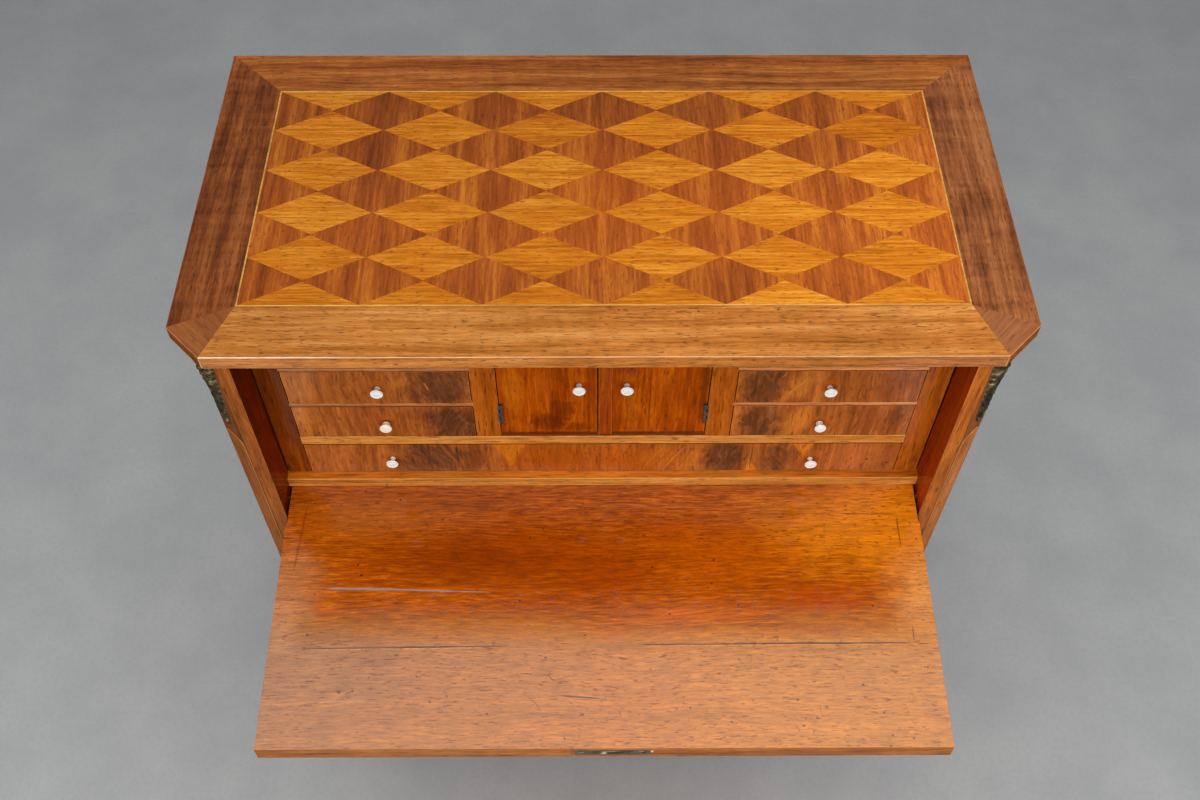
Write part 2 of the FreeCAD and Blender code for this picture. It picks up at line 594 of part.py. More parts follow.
bolt_room = box(LOCK_X - BOLT_L / 2 - 0.3, LOCK_X + BOLT_L / 2 + 0.3, f_front - 4, f_front + BOLT_LONG + 2.0,
                f_mid - BOLT_W / 2 - 0.3, f_mid + BOLT_W / 2 + 0.3)
lock_plate = plate_box.cut(bolt_room)
lock_case = case_box.cut(bolt_room).cut(keyway)
put("fall_lock", slope(lock_plate), slope(lock_case))
bolt = box(LOCK_X - BOLT_L / 2, LOCK_X + BOLT_L / 2, f_front + 0.2, f_front + BOLT_LONG,
           f_mid - BOLT_W / 2, f_mid + BOLT_W / 2)
bolt = bolt.cut(keyway)
put("fall_lock_bolt", slope(bolt))
plate = turned([(10.0, 0.0), (10.0, 0.7), (8.6, 1.3), (6.4, 1.3)], (LOCK_X, key_y + 2.5, f_bot), (0, 0, -1))
put("fall_escutcheon", slope(plate.cut(keyway)))

# ---------------------------------------------------------------- write
os.makedirs("parts", exist_ok=True)
for name, solids in nodes.items():
    solids = [place(s) for s in solids]
    for s in solids:
        if not s.isValid() or s.Volume <= 0:
            print("bad solid in", name, s.Volume)
    shape = solids[0] if len(solids) == 1 else Part.makeCompound(solids)
    shape.exportStep(os.path.join("parts", name + ".step"))
print(len(nodes), "nodes; y zero", round(Y_ZERO, 3), "; bay", round(bay, 2), "; levels", [round(v + HEIGHT, 1) for v in levels])
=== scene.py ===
import json
import math
import random

import bmesh
import bpy
from mathutils import Matrix, Vector


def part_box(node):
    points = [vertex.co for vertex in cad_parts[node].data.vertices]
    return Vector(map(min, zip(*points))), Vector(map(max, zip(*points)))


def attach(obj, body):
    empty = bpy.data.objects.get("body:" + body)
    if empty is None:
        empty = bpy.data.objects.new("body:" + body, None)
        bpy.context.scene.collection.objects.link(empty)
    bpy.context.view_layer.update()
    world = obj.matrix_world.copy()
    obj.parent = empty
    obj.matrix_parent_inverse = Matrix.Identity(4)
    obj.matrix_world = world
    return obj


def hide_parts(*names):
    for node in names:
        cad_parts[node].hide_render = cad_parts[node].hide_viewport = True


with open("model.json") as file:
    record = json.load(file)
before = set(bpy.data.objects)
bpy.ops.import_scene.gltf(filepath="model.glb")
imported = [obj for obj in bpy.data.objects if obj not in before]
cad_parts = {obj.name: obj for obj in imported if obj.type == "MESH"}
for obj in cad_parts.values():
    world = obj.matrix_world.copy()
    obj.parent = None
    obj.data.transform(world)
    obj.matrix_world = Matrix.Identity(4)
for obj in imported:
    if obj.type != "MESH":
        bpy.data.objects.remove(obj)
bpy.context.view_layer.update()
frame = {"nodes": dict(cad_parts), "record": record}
NODES = frame["nodes"]
BODY = {n: b for b, members in frame["record"]["behaviour"]["bodies"].items() for n in members}

# Plans are drawn in mm, depth counted back from the front edge of the top and height
# down from the top surface; P() takes them to the shared frame in metres.
Y_ZERO, HEIGHT = -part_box("top_board")[0].y * 1000, 1030.0


def P(x, y, z):
    return Vector((x / 1000, (y - Y_ZERO) / 1000, (z + HEIGHT) / 1000))


# ================================================================ shader helpers
def lin(colour):
    out = []
    for v in colour:
        v /= 255.0
        out.append(v / 12.92 if v <= 0.04045 else ((v + 0.055) / 1.055) ** 2.4)
    return tuple(out) + (1.0,)


class Shader:
    """A material with one principled shader, and short calls for its nodes."""

    def __init__(self, name):
        self.mat = bpy.data.materials.new(name)
        self.mat.use_nodes = True
        self.tree = self.mat.node_tree
        self.tree.nodes.clear()
        out = self.new("ShaderNodeOutputMaterial")
        self.bsdf = self.new("ShaderNodeBsdfPrincipled")
        self.tree.links.new(self.bsdf.outputs[0], out.inputs[0])
        self.p = self.new("ShaderNodeTexCoord").outputs["Object"]
        self.kept = {}

    def rough_noise(self, scale, detail=3.0):
        """Noise about zero, made once for each scale."""
        key = (scale, detail)
        if key not in self.kept:
            n = self.noise(self.p, detail=detail, rough=0.6, scale=scale)
            self.kept[key] = self.math("SUBTRACT", n, 0.5)
        return self.kept[key]

    def new(self, kind):
        return self.tree.nodes.new(kind)

    def feed(self, socket, value):
        if isinstance(value, bpy.types.NodeSocket):
            self.tree.links.new(value, socket)
        else:
            socket.default_value = value

    def set(self, **values):
        for key, value in values.items():
            self.feed(self.bsdf.inputs[key.replace("_", " ")], value)

    def math(self, op, *values, clamp=False):
        n = self.new("ShaderNodeMath")
        n.operation, n.use_clamp = op, clamp
        for i, v in enumerate(values):
            self.feed(n.inputs[i], v)
        return n.outputs[0]

    def vec(self, op, *values):
        n = self.new("ShaderNodeVectorMath")
        n.operation = op
        for i, v in enumerate(values):
            self.feed(n.inputs[i], v)
        return n.outputs["Value"] if op in ("LENGTH", "DOT_PRODUCT", "DISTANCE") else n.outputs[0]

    def xyz(self, v):
        n = self.new("ShaderNodeSeparateXYZ")
        self.feed(n.inputs[0], v)
        return n.outputs[0], n.outputs[1], n.outputs[2]

    def join(self, x, y, z):
        n = self.new("ShaderNodeCombineXYZ")
        for i, v in enumerate((x, y, z)):
            self.feed(n.inputs[i], v)
        return n.outputs[0]

    def spin(self, v, angle, axis="Z_AXIS"):
        n = self.new("ShaderNodeVectorRotate")
        n.rotation_type = axis
        self.feed(n.inputs["Vector"], v)
        n.inputs["Angle"].default_value = angle
        return n.outputs[0]

    def noise(self, v, detail=3.0, rough=0.5, distort=0.0, scale=1.0, colour=False):
        n = self.new("ShaderNodeTexNoise")
        self.feed(n.inputs["Vector"], v)
        n.inputs["Scale"].default_value = scale
        n.inputs["Detail"].default_value = detail
        n.inputs["Roughness"].default_value = rough
        n.inputs["Distortion"].default_value = distort
        return n.outputs["Color" if colour else "Fac"]

    def cells(self, v, scale=1.0, feature="F1", what="Distance", randomness=1.0):
        n = self.new("ShaderNodeTexVoronoi")
        n.feature = feature
        self.feed(n.inputs["Vector"], v)
        n.inputs["Scale"].default_value = scale
        n.inputs["Randomness"].default_value = randomness
        return n.outputs[what]

    def remap(self, v, a, b, c=0.0, d=1.0, kind="SMOOTHSTEP"):
        n = self.new("ShaderNodeMapRange")
        n.interpolation_type = kind
        self.feed(n.inputs["Value"], v)
        for key, value in (("From Min", a), ("From Max", b), ("To Min", c), ("To Max", d)):
            self.feed(n.inputs[key], value)
        return n.outputs[0]

    def ramp(self, v, stops):
        n = self.new("ShaderNodeValToRGB")
        self.feed(n.inputs[0], v)
        ramp = n.color_ramp
        while len(ramp.elements) < len(stops):
            ramp.elements.new(0.5)
        for e, (at, colour) in zip(ramp.elements, stops):
            e.position, e.color = at, colour
        return n.outputs[0]

    def mix(self, fac, a, b, mode="MIX"):
        n = self.new("ShaderNodeMix")
        n.data_type, n.blend_type = "RGBA", mode
        self.feed(n.inputs[0], fac)
        self.feed(n.inputs[6], a)
        self.feed(n.inputs[7], b)
        return n.outputs[2]

    def attribute(self, name, what="Fac"):
        n = self.new("ShaderNodeAttribute")
        n.attribute_name = name
        return n.outputs[what]

    def bump(self, height, strength, distance):
        n = self.new("ShaderNodeBump")
        n.inputs["Strength"].default_value = strength
        n.inputs["Distance"].default_value = distance
        self.feed(n.inputs["Height"], height)
        self.set(Normal=n.outputs[0])

    # ---- marks in the wood, also used for painted light and shade
    def stain(self, colour, at, size, tint, amount, soft=0.55, turn=0.0, wobble=0.35, axis="Y_AXIS", fine=60.0,
              pointed=False):
        """A soft patch of another colour: at and size in metres, turned about an axis."""
        d = self.vec("SUBTRACT", self.p, tuple(at))
        if turn:
            d = self.spin(d, turn, axis)
        d = self.vec("DIVIDE", d, tuple(size))
        if pointed:
            r = self.vec("DOT_PRODUCT", self.vec("ABSOLUTE", d), (1.0, 1.0, 1.0))
        else:
            r = self.vec("LENGTH", d)
        r = self.math("ADD", r, self.math("MULTIPLY", self.rough_noise(fine), wobble * 2.4))
        m = self.remap(r, 1.0, 1.0 - soft, 0.0, amount)
        return self.mix(m, colour, lin(tint))

    def scratch(self, colour, a, b, width, tint, amount, wobble=0.0012, plane=(0, 1), broken=0.0):
        """A thin line in the wood from a to b, in the plane of two axes, in metres."""
        axes = self.xyz(self.p)
        u, v = axes[plane[0]], axes[plane[1]]
        dx, dy = b[0] - a[0], b[1] - a[1]
        length = math.hypot(dx, dy)
        dx, dy = dx / length, dy / length
        ru, rv = self.math("SUBTRACT", u, a[0]), self.math("SUBTRACT", v, a[1])
        t = self.math("ADD", self.math("MULTIPLY", ru, dx), self.math("MULTIPLY", rv, dy))
        s = self.math("SUBTRACT", self.math("MULTIPLY", rv, dx), self.math("MULTIPLY", ru, dy))
        s = self.math("ADD", s, self.math("MULTIPLY", self.rough_noise(28.0), wobble * 3))
        m = self.remap(self.math("ABSOLUTE", s), width, width * 0.35, 0.0, amount)
        ends = min(0.3, 0.012 / length)
        t = self.math("DIVIDE", t, length)
        m = self.math("MULTIPLY", m, self.remap(t, 0.0, ends))
        m = self.math("MULTIPLY", m, self.remap(t, 1.0, 1.0 - ends))
        if broken:
            k = self.rough_noise(90.0)
            m = self.math("MULTIPLY", m, self.remap(k, -0.12 + 0.14 * broken, 0.02 + 0.14 * broken))
        return self.mix(m, colour, lin(tint))


def wood(name, dark, mid, light, axis=0, seed=0.0, turn=0.0, fine=(16, 420), broad=(1.8, 34), weights=(0.55, 0.6),
         gain=2.6, wave=0.010, wave_scale=3.0, pores=0.5, pore_size=(55, 800), pore_cut=(0.60, 0.70), pore_colour=None,
         figure=0.0, figure_size=(60, 10), rough=(0.15, 0.22), coat=0.0, coat_rough=0.14, bump=0.10, tone=0.12, own=False,
         edge=0.35, marks_and_painted_light=None, specks=0.0, ior=1.5, mottle=0.0, mottle_scale=38.0, warm=None, warm_scale=7.0,
         under=None, grain=0.0, dashes=0.0, dash_size=(60, 420), dash_cut=(0.62, 0.70), spec=0.5, micro=0.11):
    """Polished wood. axis is the grain direction; own=True takes each veneer's own shift and tone."""
    S = Shader(name)
    p = S.p
    if turn:
        p = S.spin(p, turn)
    if own:
        p = S.vec("ADD", p, S.attribute("shift", "Vector"))
    p = S.vec("ADD", p, (seed * 1.713 % 5, seed * 2.391 % 5, seed * 0.937 % 5))
    bend = S.noise(p, detail=2.0, scale=wave_scale, colour=True)
    bend = S.vec("MULTIPLY", S.vec("SUBTRACT", bend, (0.5, 0.5, 0.5)), (wave * 2,) * 3)
    q = S.vec("ADD", p, bend)

    def along(a, c):
        size = [c, c, c]
        size[axis] = a
        return S.vec("MULTIPLY", q, tuple(size))

    f = S.noise(along(*fine), detail=4.0, rough=0.62)
    b = S.noise(along(*broad), detail=3.0, rough=0.58)
    v = S.math("ADD", S.math("MULTIPLY", S.math("SUBTRACT", f, 0.5), weights[0] * gain),
               S.math("MULTIPLY", S.math("SUBTRACT", b, 0.5), weights[1] * gain))
    if figure:
        g = S.noise(along(*figure_size), detail=2.0, rough=0.5)
        v = S.math("ADD", v, S.math("MULTIPLY", S.math("SUBTRACT", g, 0.5), figure * 2.4))
    if own:
        v = S.math("ADD", v, S.attribute("tone"))
    v = S.math("ADD", v, 0.5, clamp=True)
    colour = S.ramp(v, [(0.0, lin(dark)), (0.5, lin(mid)), (1.0, lin(light))])
    if under:
        colour = under(S, colour)
    large = S.noise(p, detail=2.0, scale=5.5)
    shade = S.remap(large, 0.28, 0.72, 1.0 - tone, 1.0 + tone, "LINEAR")
    if mottle:
        blot = S.noise(along(mottle_scale * 0.6, mottle_scale), detail=4.0, rough=0.66, distort=0.6)
        shade = S.math("MULTIPLY", shade, S.remap(blot, 0.3, 0.7, 1.0 - mottle, 1.0 + mottle, "LINEAR"))
    if micro:
        fibre = S.noise(along(85, 850), detail=2.0, rough=0.6)
        shade = S.math("MULTIPLY", shade, S.remap(fibre, 0.3, 0.7, 1.0 - micro, 1.0 + micro, "LINEAR"))
    if grain:
        shade = S.math("MULTIPLY", shade, S.remap(v, 0.0, 1.0, 1.0 - grain, 1.0 + grain, "LINEAR"))
    colour = S.mix(1.0, colour, S.join(shade, shade, shade), "MULTIPLY")
    if warm:
        patch = S.noise(S.vec("ADD", p, (7.1, 3.3, 1.9)), detail=3.0, rough=0.6, scale=warm_scale)
        colour = S.mix(S.remap(patch, 0.42, 0.68, 0.0, warm[1]), colour, lin(warm[0]))
    k = S.noise(along(*pore_size), detail=1.0, rough=0.4)
    pore = S.remap(k, pore_cut[0], pore_cut[1])
    deep = pore_colour or tuple(c * 0.45 for c in dark)
    if pores:
        colour = S.mix(S.math("MULTIPLY", pore, pores), colour, lin(deep))
    if dashes:
        dash = S.remap(S.noise(along(*dash_size), detail=2.0, rough=0.5), dash_cut[0], dash_cut[1], 0.0, dashes)
        colour = S.mix(dash, colour, lin(deep))
    if specks:
        d = S.cells(S.vec("MULTIPLY", p, (1.0, 1.0, 1.0)), scale=75.0)
        e = S.noise(p, detail=1.0, scale=23.0)
        m = S.math("MULTIPLY", S.remap(d, 0.13, 0.05), S.remap(e, 0.54, 0.62, 0.0, specks))
        colour = S.mix(m, colour, lin((38, 18, 8)))
    # marks: colour laid over the grain: real marks for some woods, painted light and shade for many.
    if marks_and_painted_light:
        colour = marks_and_painted_light(S, colour)
    # Rounded arrises are lighter: rubbed polish, with a painted highlight along them.
    if edge:
        edge_wear_and_highlight = S.math("MULTIPLY", S.attribute("edge"), S.remap(S.noise(p, detail=3.0, scale=40.0), 0.35, 0.65, 0.15, edge))
        colour = S.mix(edge_wear_and_highlight, colour, lin(tuple(min(255, c * 1.25 + 22) for c in light)))
    smear = S.noise(p, detail=4.0, rough=0.6, scale=9.0)
    r = S.remap(smear, 0.3, 0.7, rough[0], rough[1], "LINEAR")
    r = S.math("ADD", r, S.math("MULTIPLY", pore, 0.12), clamp=True)
    S.set(Base_Color=colour, Roughness=r, IOR=ior, Specular_IOR_Level=spec, Coat_Weight=coat, Coat_Roughness=coat_rough)
    height = S.math("SUBTRACT", S.math("MULTIPLY", f, 0.5), S.math("MULTIPLY", pore, 0.8))
    S.bump(height, bump, 0.0004)
    return S.mat


def metal(name, base, bright, deep, rough=(0.25, 0.45), scale=60.0, bump=0.15, dirt=0.6, brushed=None, metallic=1.0,
          marks_and_painted_light=None):
    """Old metal: bright on the rubbed edges, darker where dirt sits."""
    S = Shader(name)
    p = S.p
    n = S.noise(p, detail=5.0, rough=0.62, scale=scale)
    colour = S.ramp(S.remap(n, 0.3, 0.7), [(0.0, lin(deep)), (0.55, lin(base)), (1.0, lin(bright))])
    spots = S.noise(p, detail=3.0, rough=0.7, scale=scale * 6)
    colour = S.mix(S.remap(spots, 0.56, 0.72, 0.0, dirt), colour, lin(deep))
    hollow = S.new("ShaderNodeNewGeometry").outputs["Pointiness"]
    colour = S.mix(S.remap(hollow, 0.5, 0.42, 0.0, 0.75), colour, lin(tuple(c * 0.45 for c in deep)))
    colour = S.mix(S.remap(hollow, 0.52, 0.62, 0.0, 0.8), colour, lin(bright))
    if marks_and_painted_light:
        colour = marks_and_painted_light(S, colour)
    r = S.remap(n, 0.3, 0.7, rough[1], rough[0], "LINEAR")
    h = n
    if brushed is not None:
        size = [900.0] * 3
        size[brushed] = 20.0
        h = S.noise(S.vec("MULTIPLY", p, tuple(size)), detail=2.0)
        r = S.math("ADD", r, S.math("MULTIPLY", S.math("SUBTRACT", h, 0.5), 0.2), clamp=True)
    S.set(Base_Color=colour, Roughness=r, Metallic=metallic)
    S.bump(h, bump, 0.0003)
    return S.mat


# ================================================================ mesh helpers
def finish_piece(name, bm, node, mats, body=None, flat=False, stands_for=True, extra=()):
    me = bpy.data.meshes.new(name)
    bmesh.ops.recalc_face_normals(bm, faces=bm.faces)
    for f in bm.faces:
        f.smooth = not flat
    for e in bm.edges:
        if len(e.link_faces) == 2 and e.calc_face_angle(0.0) > math.radians(38):
            e.smooth = False
    bm.to_mesh(me)
    bm.free()
    ob = bpy.data.objects.new(name, me)
    bpy.context.scene.collection.objects.link(ob)
    for m in mats:
        me.materials.append(m)
    if not flat:
        wn = ob.modifiers.new("normals", "WEIGHTED_NORMAL")
        wn.weight, wn.keep_sharp = 60, True
    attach(ob, body or BODY[node])
    if stands_for:
        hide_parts(node, *extra)
    return ob


def round_edges(bm, width, segments=2, edges=None, angle=28.0):
    layer = bm.faces.layers.float.get("edge") or bm.faces.layers.float.new("edge")
    bm.normal_update()
    chosen = []
    for e in bm.edges:
        if len(e.link_faces) != 2 or e.calc_face_angle(0.0) < math.radians(angle):
            continue
        if edges is None or edges(e):
            chosen.append(e)
    made = bmesh.ops.bevel(bm, geom=chosen, offset=width, offset_type="OFFSET", segments=segments, profile=0.5,
                           affect="EDGES", clamp_overlap=True, loop_slide=True, material=-1)
    for f in made["faces"]:
        f[layer] = 1.0


def soften(node, width, mats, pick=None, edges=None, segments=2, first=None, cut=None):
    """The node's own shape with its arrises taken off by hand; first is a broader chamfer on some edges."""
    bm = bmesh.new()
    bm.from_mesh(NODES[node].data)
    bmesh.ops.remove_doubles(bm, verts=bm.verts, dist=3e-6)
    bmesh.ops.dissolve_limit(bm, angle_limit=math.radians(0.2), use_dissolve_boundaries=False,
                             verts=bm.verts, edges=bm.edges)
    if cut:
        bmesh.ops.bisect_plane(bm, geom=bm.verts[:] + bm.edges[:] + bm.faces[:], plane_co=cut[0], plane_no=cut[1], dist=1e-7)
    bm.normal_update()
    for f in bm.faces:
        f.material_index = pick(f) if pick else 0
    if first:
        made = bmesh.ops.bevel(bm, geom=[e for e in bm.edges if first[0](e)], offset=first[1] / 1000, offset_type="OFFSET",
                               segments=1, profile=0.5, affect="EDGES", clamp_overlap=True, material=-1)
        for f in made["faces"]:
            f.material_index = first[2]
    round_edges(bm, width / 1000, segments, edges)
    return finish_piece(node + "_soft", bm, node, mats)


def prism(bm, ring, z0, z1, mat=0):
    low = [bm.verts.new(P(x, y, z0)) for x, y in ring]
    high = [bm.verts.new(P(x, y, z1)) for x, y in ring]
    faces = [bm.faces.new(high), bm.faces.new(low[::-1])]
    n = len(ring)
    for i in range(n):
        faces.append(bm.faces.new([low[i], low[(i + 1) % n], high[(i + 1) % n], high[i]]))
    for f in faces:
        f.material_index = mat
    return faces


def block(bm, x0, x1, y0, y1, z0, z1, mat=0):
    return prism(bm, [(x0, y0), (x1, y0), (x1, y1), (x0, y1)], z0, z1, mat)


def smooth_profile(points, steps=5, sharp=()):
    """A profile of (radius, height) drawn through its points as a smooth curve."""
    out = []
    n = len(points)
    for i in range(n - 1):
        p0 = points[max(i - 1, 0)] if i not in sharp else points[i]
        p1, p2 = points[i], points[i + 1]
        p3 = points[min(i + 2, n - 1)] if i + 1 not in sharp else points[i + 1]
        for k in range(steps):
            t = k / steps
            c = [0.5 * (2 * b + (d - a) * t + (2 * a - 5 * b + 4 * d - e) * t * t + (3 * b - a - 3 * d + e) * t ** 3)
                 for a, b, d, e in zip(p0, p1, p2, p3)]
            out.append((max(c[0], 0.0), c[1]))
    out.append(points[-1])
    return out


def lathe(bm, profile, at, axis, segments=48, mat=0, squash=None):
    """Turned shape: profile of (radius, height) in mm along axis, from the point at."""
    axis = Vector(axis).normalized()
    side = axis.orthogonal().normalized()
    other = axis.cross(side)
    rings = []
    for r, h in profile:
        if r < 1e-4:
            rings.append([bm.verts.new(at + axis * (h / 1000))])
            continue
        ring = []
        for k in range(segments):
            a = 2 * math.pi * k / segments
            rr = r * (squash(a, h) if squash else 1.0)
            ring.append(bm.verts.new(at + axis * (h / 1000) + (side * math.cos(a) + other * math.sin(a)) * (rr / 1000)))
        rings.append(ring)
    for a, b in zip(rings, rings[1:]):
        for k in range(segments):
            j = (k + 1) % segments
            if len(a) == 1 and len(b) == 1:
                continue
            if len(a) == 1:
                f = bm.faces.new([a[0], b[j], b[k]])
            elif len(b) == 1:
                f = bm.faces.new([a[k], a[j], b[0]])
            else:
                f = bm.faces.new([a[k], a[j], b[j], b[k]])
            f.material_index = mat
    return rings


# ================================================================ woods
M = {}


def shaded(S, c, *stops):
    """Painted light and shade that change along an axis: (axis, from, to, value there, value here), in metres."""
    axes = S.xyz(S.p)
    for axis, a, b, va, vb in stops:
        k = S.remap(axes[axis], a, b, va, vb, "LINEAR")
        c = S.mix(1.0, c, S.join(k, k, k), "MULTIPLY")
    return c


def depth(y):
    return (y - Y_ZERO) / 1000


# Painted shade on the light veneers: darker to the left and a little darker at the back.
def light_veneer_painted_shade(S, c):
    return shaded(S, c, (0, -0.1, 0.34, 0.93, 1.20), (1, depth(200), depth(350), 1.0, 0.95))


def dark_veneer_stain_and_shade(S, c):
    """The dark veneers are a warmer orange about the middle of the top; painted shade makes them darker to the left and
    at the back.
    """
    c = shaded(S, c, (0, 0.05, 0.34, 0.95, 1.38), (1, depth(170), depth(350), 1.0, 0.74))
    return S.stain(c, P(20, 200, 0), (0.19, 0.13, 0.1), (190, 78, 6), 0.22, soft=0.95, wobble=0.2, fine=9)


# Painted shade on the front border: darker to the left.
def border_front_painted_shade(S, c):
    return shaded(S, c, (0, -0.36, 0.36, 0.80, 1.06))


M["light_veneer"] = wood("light_veneer", (160, 80, 8), (203, 117, 18), (228, 152, 48), axis=0, seed=1, fine=(20, 360),
                         broad=(4.0, 90), weights=(0.7, 0.34), gain=2.6, wave=0.004, pores=0.55, pore_size=(130, 640),
                         pore_cut=(0.60, 0.70), pore_colour=(116, 54, 6), dashes=0.42, dash_size=(22, 520),
                         dash_cut=(0.65, 0.72), own=True, tone=0.05, specks=0.5, edge=0, mottle=0.05, marks_and_painted_light=light_veneer_painted_shade)
M["dark_veneer"] = wood("dark_veneer", (116, 51, 15), (165, 82, 25), (214, 127, 40), axis=1, seed=2, fine=(24, 350),
                        broad=(3.0, 66), weights=(0.48, 0.66), gain=2.3, wave=0.004, pores=0.4, pore_size=(110, 640),
                        pore_colour=(96, 40, 8), own=True, tone=0.05, specks=0.4, edge=0, mottle=0.05,
                        marks_and_painted_light=dark_veneer_stain_and_shade)
# Side borders of the top: border_side, on the left, is a darker copy of border_side_b, on the right, as painted shade.
M["border_side"] = wood("border_side", (76, 34, 12), (123, 63, 26), (160, 92, 44), axis=1, seed=3, fine=(18, 330),
                        broad=(3.0, 70), figure=0.30, figure_size=(85, 16), pores=0.45, pore_size=(110, 640), specks=0.3,
                        mottle=0.10)
M["border_side_b"] = wood("border_side_b", (98, 50, 23), (152, 88, 46), (188, 120, 70), axis=1, seed=4, fine=(18, 330),
                          broad=(3.0, 70), figure=0.28, figure_size=(85, 16), pores=0.45, pore_size=(110, 640), specks=0.3,
                          mottle=0.10)
M["border_back"] = wood("border_back", (104, 50, 14), (157, 86, 32), (194, 122, 58), axis=0, seed=5, fine=(16, 330),
                        broad=(2.4, 80), figure=0.14, figure_size=(70, 22), pores=0.45, pore_size=(110, 640), specks=0.3,
                        mottle=0.10)
M["border_front"] = wood("border_front", (138, 74, 22), (194, 118, 46), (224, 154, 82), axis=0, seed=6, fine=(16, 330),
                         broad=(2.4, 80), figure=0.12, figure_size=(80, 26), pores=0.55, pore_size=(120, 640), dashes=0.25,
                         dash_size=(50, 430), dash_cut=(0.65, 0.72), specks=0.6, mottle=0.10, mottle_scale=60.0, edge=0.8,
                         marks_and_painted_light=border_front_painted_shade)
M["front_edge"] = wood("front_edge", (128, 68, 18), (192, 114, 43), (222, 150, 76), axis=0, seed=36, fine=(18, 330),
                       broad=(2.4, 90), pores=0.6, pore_size=(110, 600), dashes=0.3, dash_size=(50, 400),
                       dash_cut=(0.65, 0.72), specks=0.6, mottle=0.14, mottle_scale=60.0, edge=0.8)


def arris_painted_highlight(S, c):
    """A painted highlight, near white, along the left part of the arris."""
    x, _, _ = S.xyz(S.p)
    arris_highlight = S.math("MULTIPLY", S.remap(x, -0.20, -0.30, 0.08, 0.72), S.remap(S.rough_noise(60.0), -0.16, 0.02, 0.55, 1.0))
    return S.mix(arris_highlight, c, lin((246, 232, 220)))


# Painted shade on the cut corners of the top: the left one darker.
def cut_edge_painted_shade(S, c):
    return shaded(S, c, (0, -0.38, 0.38, 0.80, 1.35))


# The front arris of the top: wood lighter than the front edge below it, with a near-white painted highlight along its
# left part.
M["front_arris"] = wood("front_arris", (170, 100, 40), (214, 140, 68), (236, 176, 110), axis=0, seed=42, fine=(18, 330), broad=(2.4, 90),
                        pores=0.4, pore_size=(110, 600), mottle=0.14, mottle_scale=60.0, edge=0, marks_and_painted_light=arris_painted_highlight)
M["cut_edge"] = wood("cut_edge", (88, 46, 18), (136, 76, 34), (164, 102, 54), axis=0, seed=43, turn=math.radians(45), fine=(16, 330),
                     broad=(2.5, 60), pores=0.5, pore_size=(80, 560), mottle=0.12, spec=0.0, marks_and_painted_light=cut_edge_painted_shade)


# Painted shade: the stringing along the left side is darker.
def stringing_painted_shade(S, c):
    return shaded(S, c, (0, -0.339, -0.336, 0.88, 1.0))


M["stringing"] = wood("stringing", (184, 122, 48), (218, 161, 76), (238, 194, 112), axis=0, seed=7, fine=(40, 400),
                      pores=0.25, pore_size=(80, 500), edge=0, mottle=0.12, mottle_scale=50.0, marks_and_painted_light=stringing_painted_shade)


# Painted shade on the post fronts and cant strips: darker to the left.
def post_painted_shade(S, c):
    return shaded(S, c, (0, -0.36, 0.36, 0.74, 1.06))


def inner_painted_shade(S, c):
    """Painted shade: a deep dark red beside the fitted interior, lighter on the right post than on the left; plain
    brown beside the long drawers.
    """
    c = shaded(S, c, (0, -0.34, 0.34, 1.10, 1.66))
    _, _, z = S.xyz(S.p)
    return S.mix(S.remap(z, 0.712, 0.690, 0.0, 0.72), c, lin((136, 70, 26)))


# Painted shade on the cants of the posts: darker to the left.
def cant_painted_shade(S, c):
    return shaded(S, c, (0, -0.37, 0.37, 0.78, 1.25))


M["case_wood"] = wood("case_wood", (116, 54, 8), (180, 96, 22), (210, 128, 48), axis=2, seed=8, fine=(16, 320),
                      broad=(2.6, 60), weights=(0.45, 0.42), pores=0.6, pore_size=(45, 480), specks=0.6, mottle=0.14, spec=0.10, marks_and_painted_light=post_painted_shade)
# Inner faces of the front posts: the deep dark red is painted shade for the shadow beside the fitted interior.
M["case_inner"] = wood("case_inner", (82, 23, 2), (120, 37, 3), (152, 60, 11), axis=2, seed=9, pores=0.4, specks=0.3, spec=0.06,
                       mottle=0.10, marks_and_painted_light=inner_painted_shade)
M["case_cant"] = wood("case_cant", (96, 52, 28), (140, 82, 48), (168, 108, 70), axis=2, seed=10, pores=0.4, spec=0.0,
                      marks_and_painted_light=cant_painted_shade)
M["strip_wood"] = wood("strip_wood", (146, 78, 38), (192, 114, 62), (216, 140, 86), axis=2, seed=11, fine=(18, 330),
                       broad=(3.0, 80), pores=0.5, pore_size=(50, 480), edge=0.2, spec=0.0, mottle=0.08, marks_and_painted_light=post_painted_shade)
M["case_side"] = wood("case_side", (104, 50, 18), (158, 86, 36), (192, 116, 56), axis=2, seed=12, fine=(10, 300),
                      broad=(1.2, 22), wave=0.03, wave_scale=2.0, figure=0.10, figure_size=(26, 7), pores=0.5, mottle=0.06)
M["carcase_wood"] = wood("carcase_wood", (120, 84, 50), (158, 118, 76), (182, 144, 98), axis=2, seed=13, fine=(9, 240),
                         broad=(1.2, 16), wave=0.03, pores=0.3, rough=(0.5, 0.68), edge=0.2, mottle=0.06)
M["carcase_x"] = wood("carcase_x", (112, 78, 46), (150, 110, 70), (176, 138, 92), axis=0, seed=14, fine=(9, 240),
                      broad=(1.2, 16), wave=0.03, pores=0.3, rough=(0.5, 0.68), edge=0.2, mottle=0.06)
M["carcase_y"] = wood("carcase_y", (116, 80, 48), (152, 112, 72), (178, 140, 94), axis=1, seed=15, fine=(9, 240),
                      broad=(1.2, 16), wave=0.03, pores=0.3, rough=(0.5, 0.68), edge=0.2, mottle=0.06)
M["rail_wood"] = wood("rail_wood", (110, 54, 16), (164, 88, 32), (196, 118, 54), axis=0, seed=16, pores=0.45, mottle=0.06)


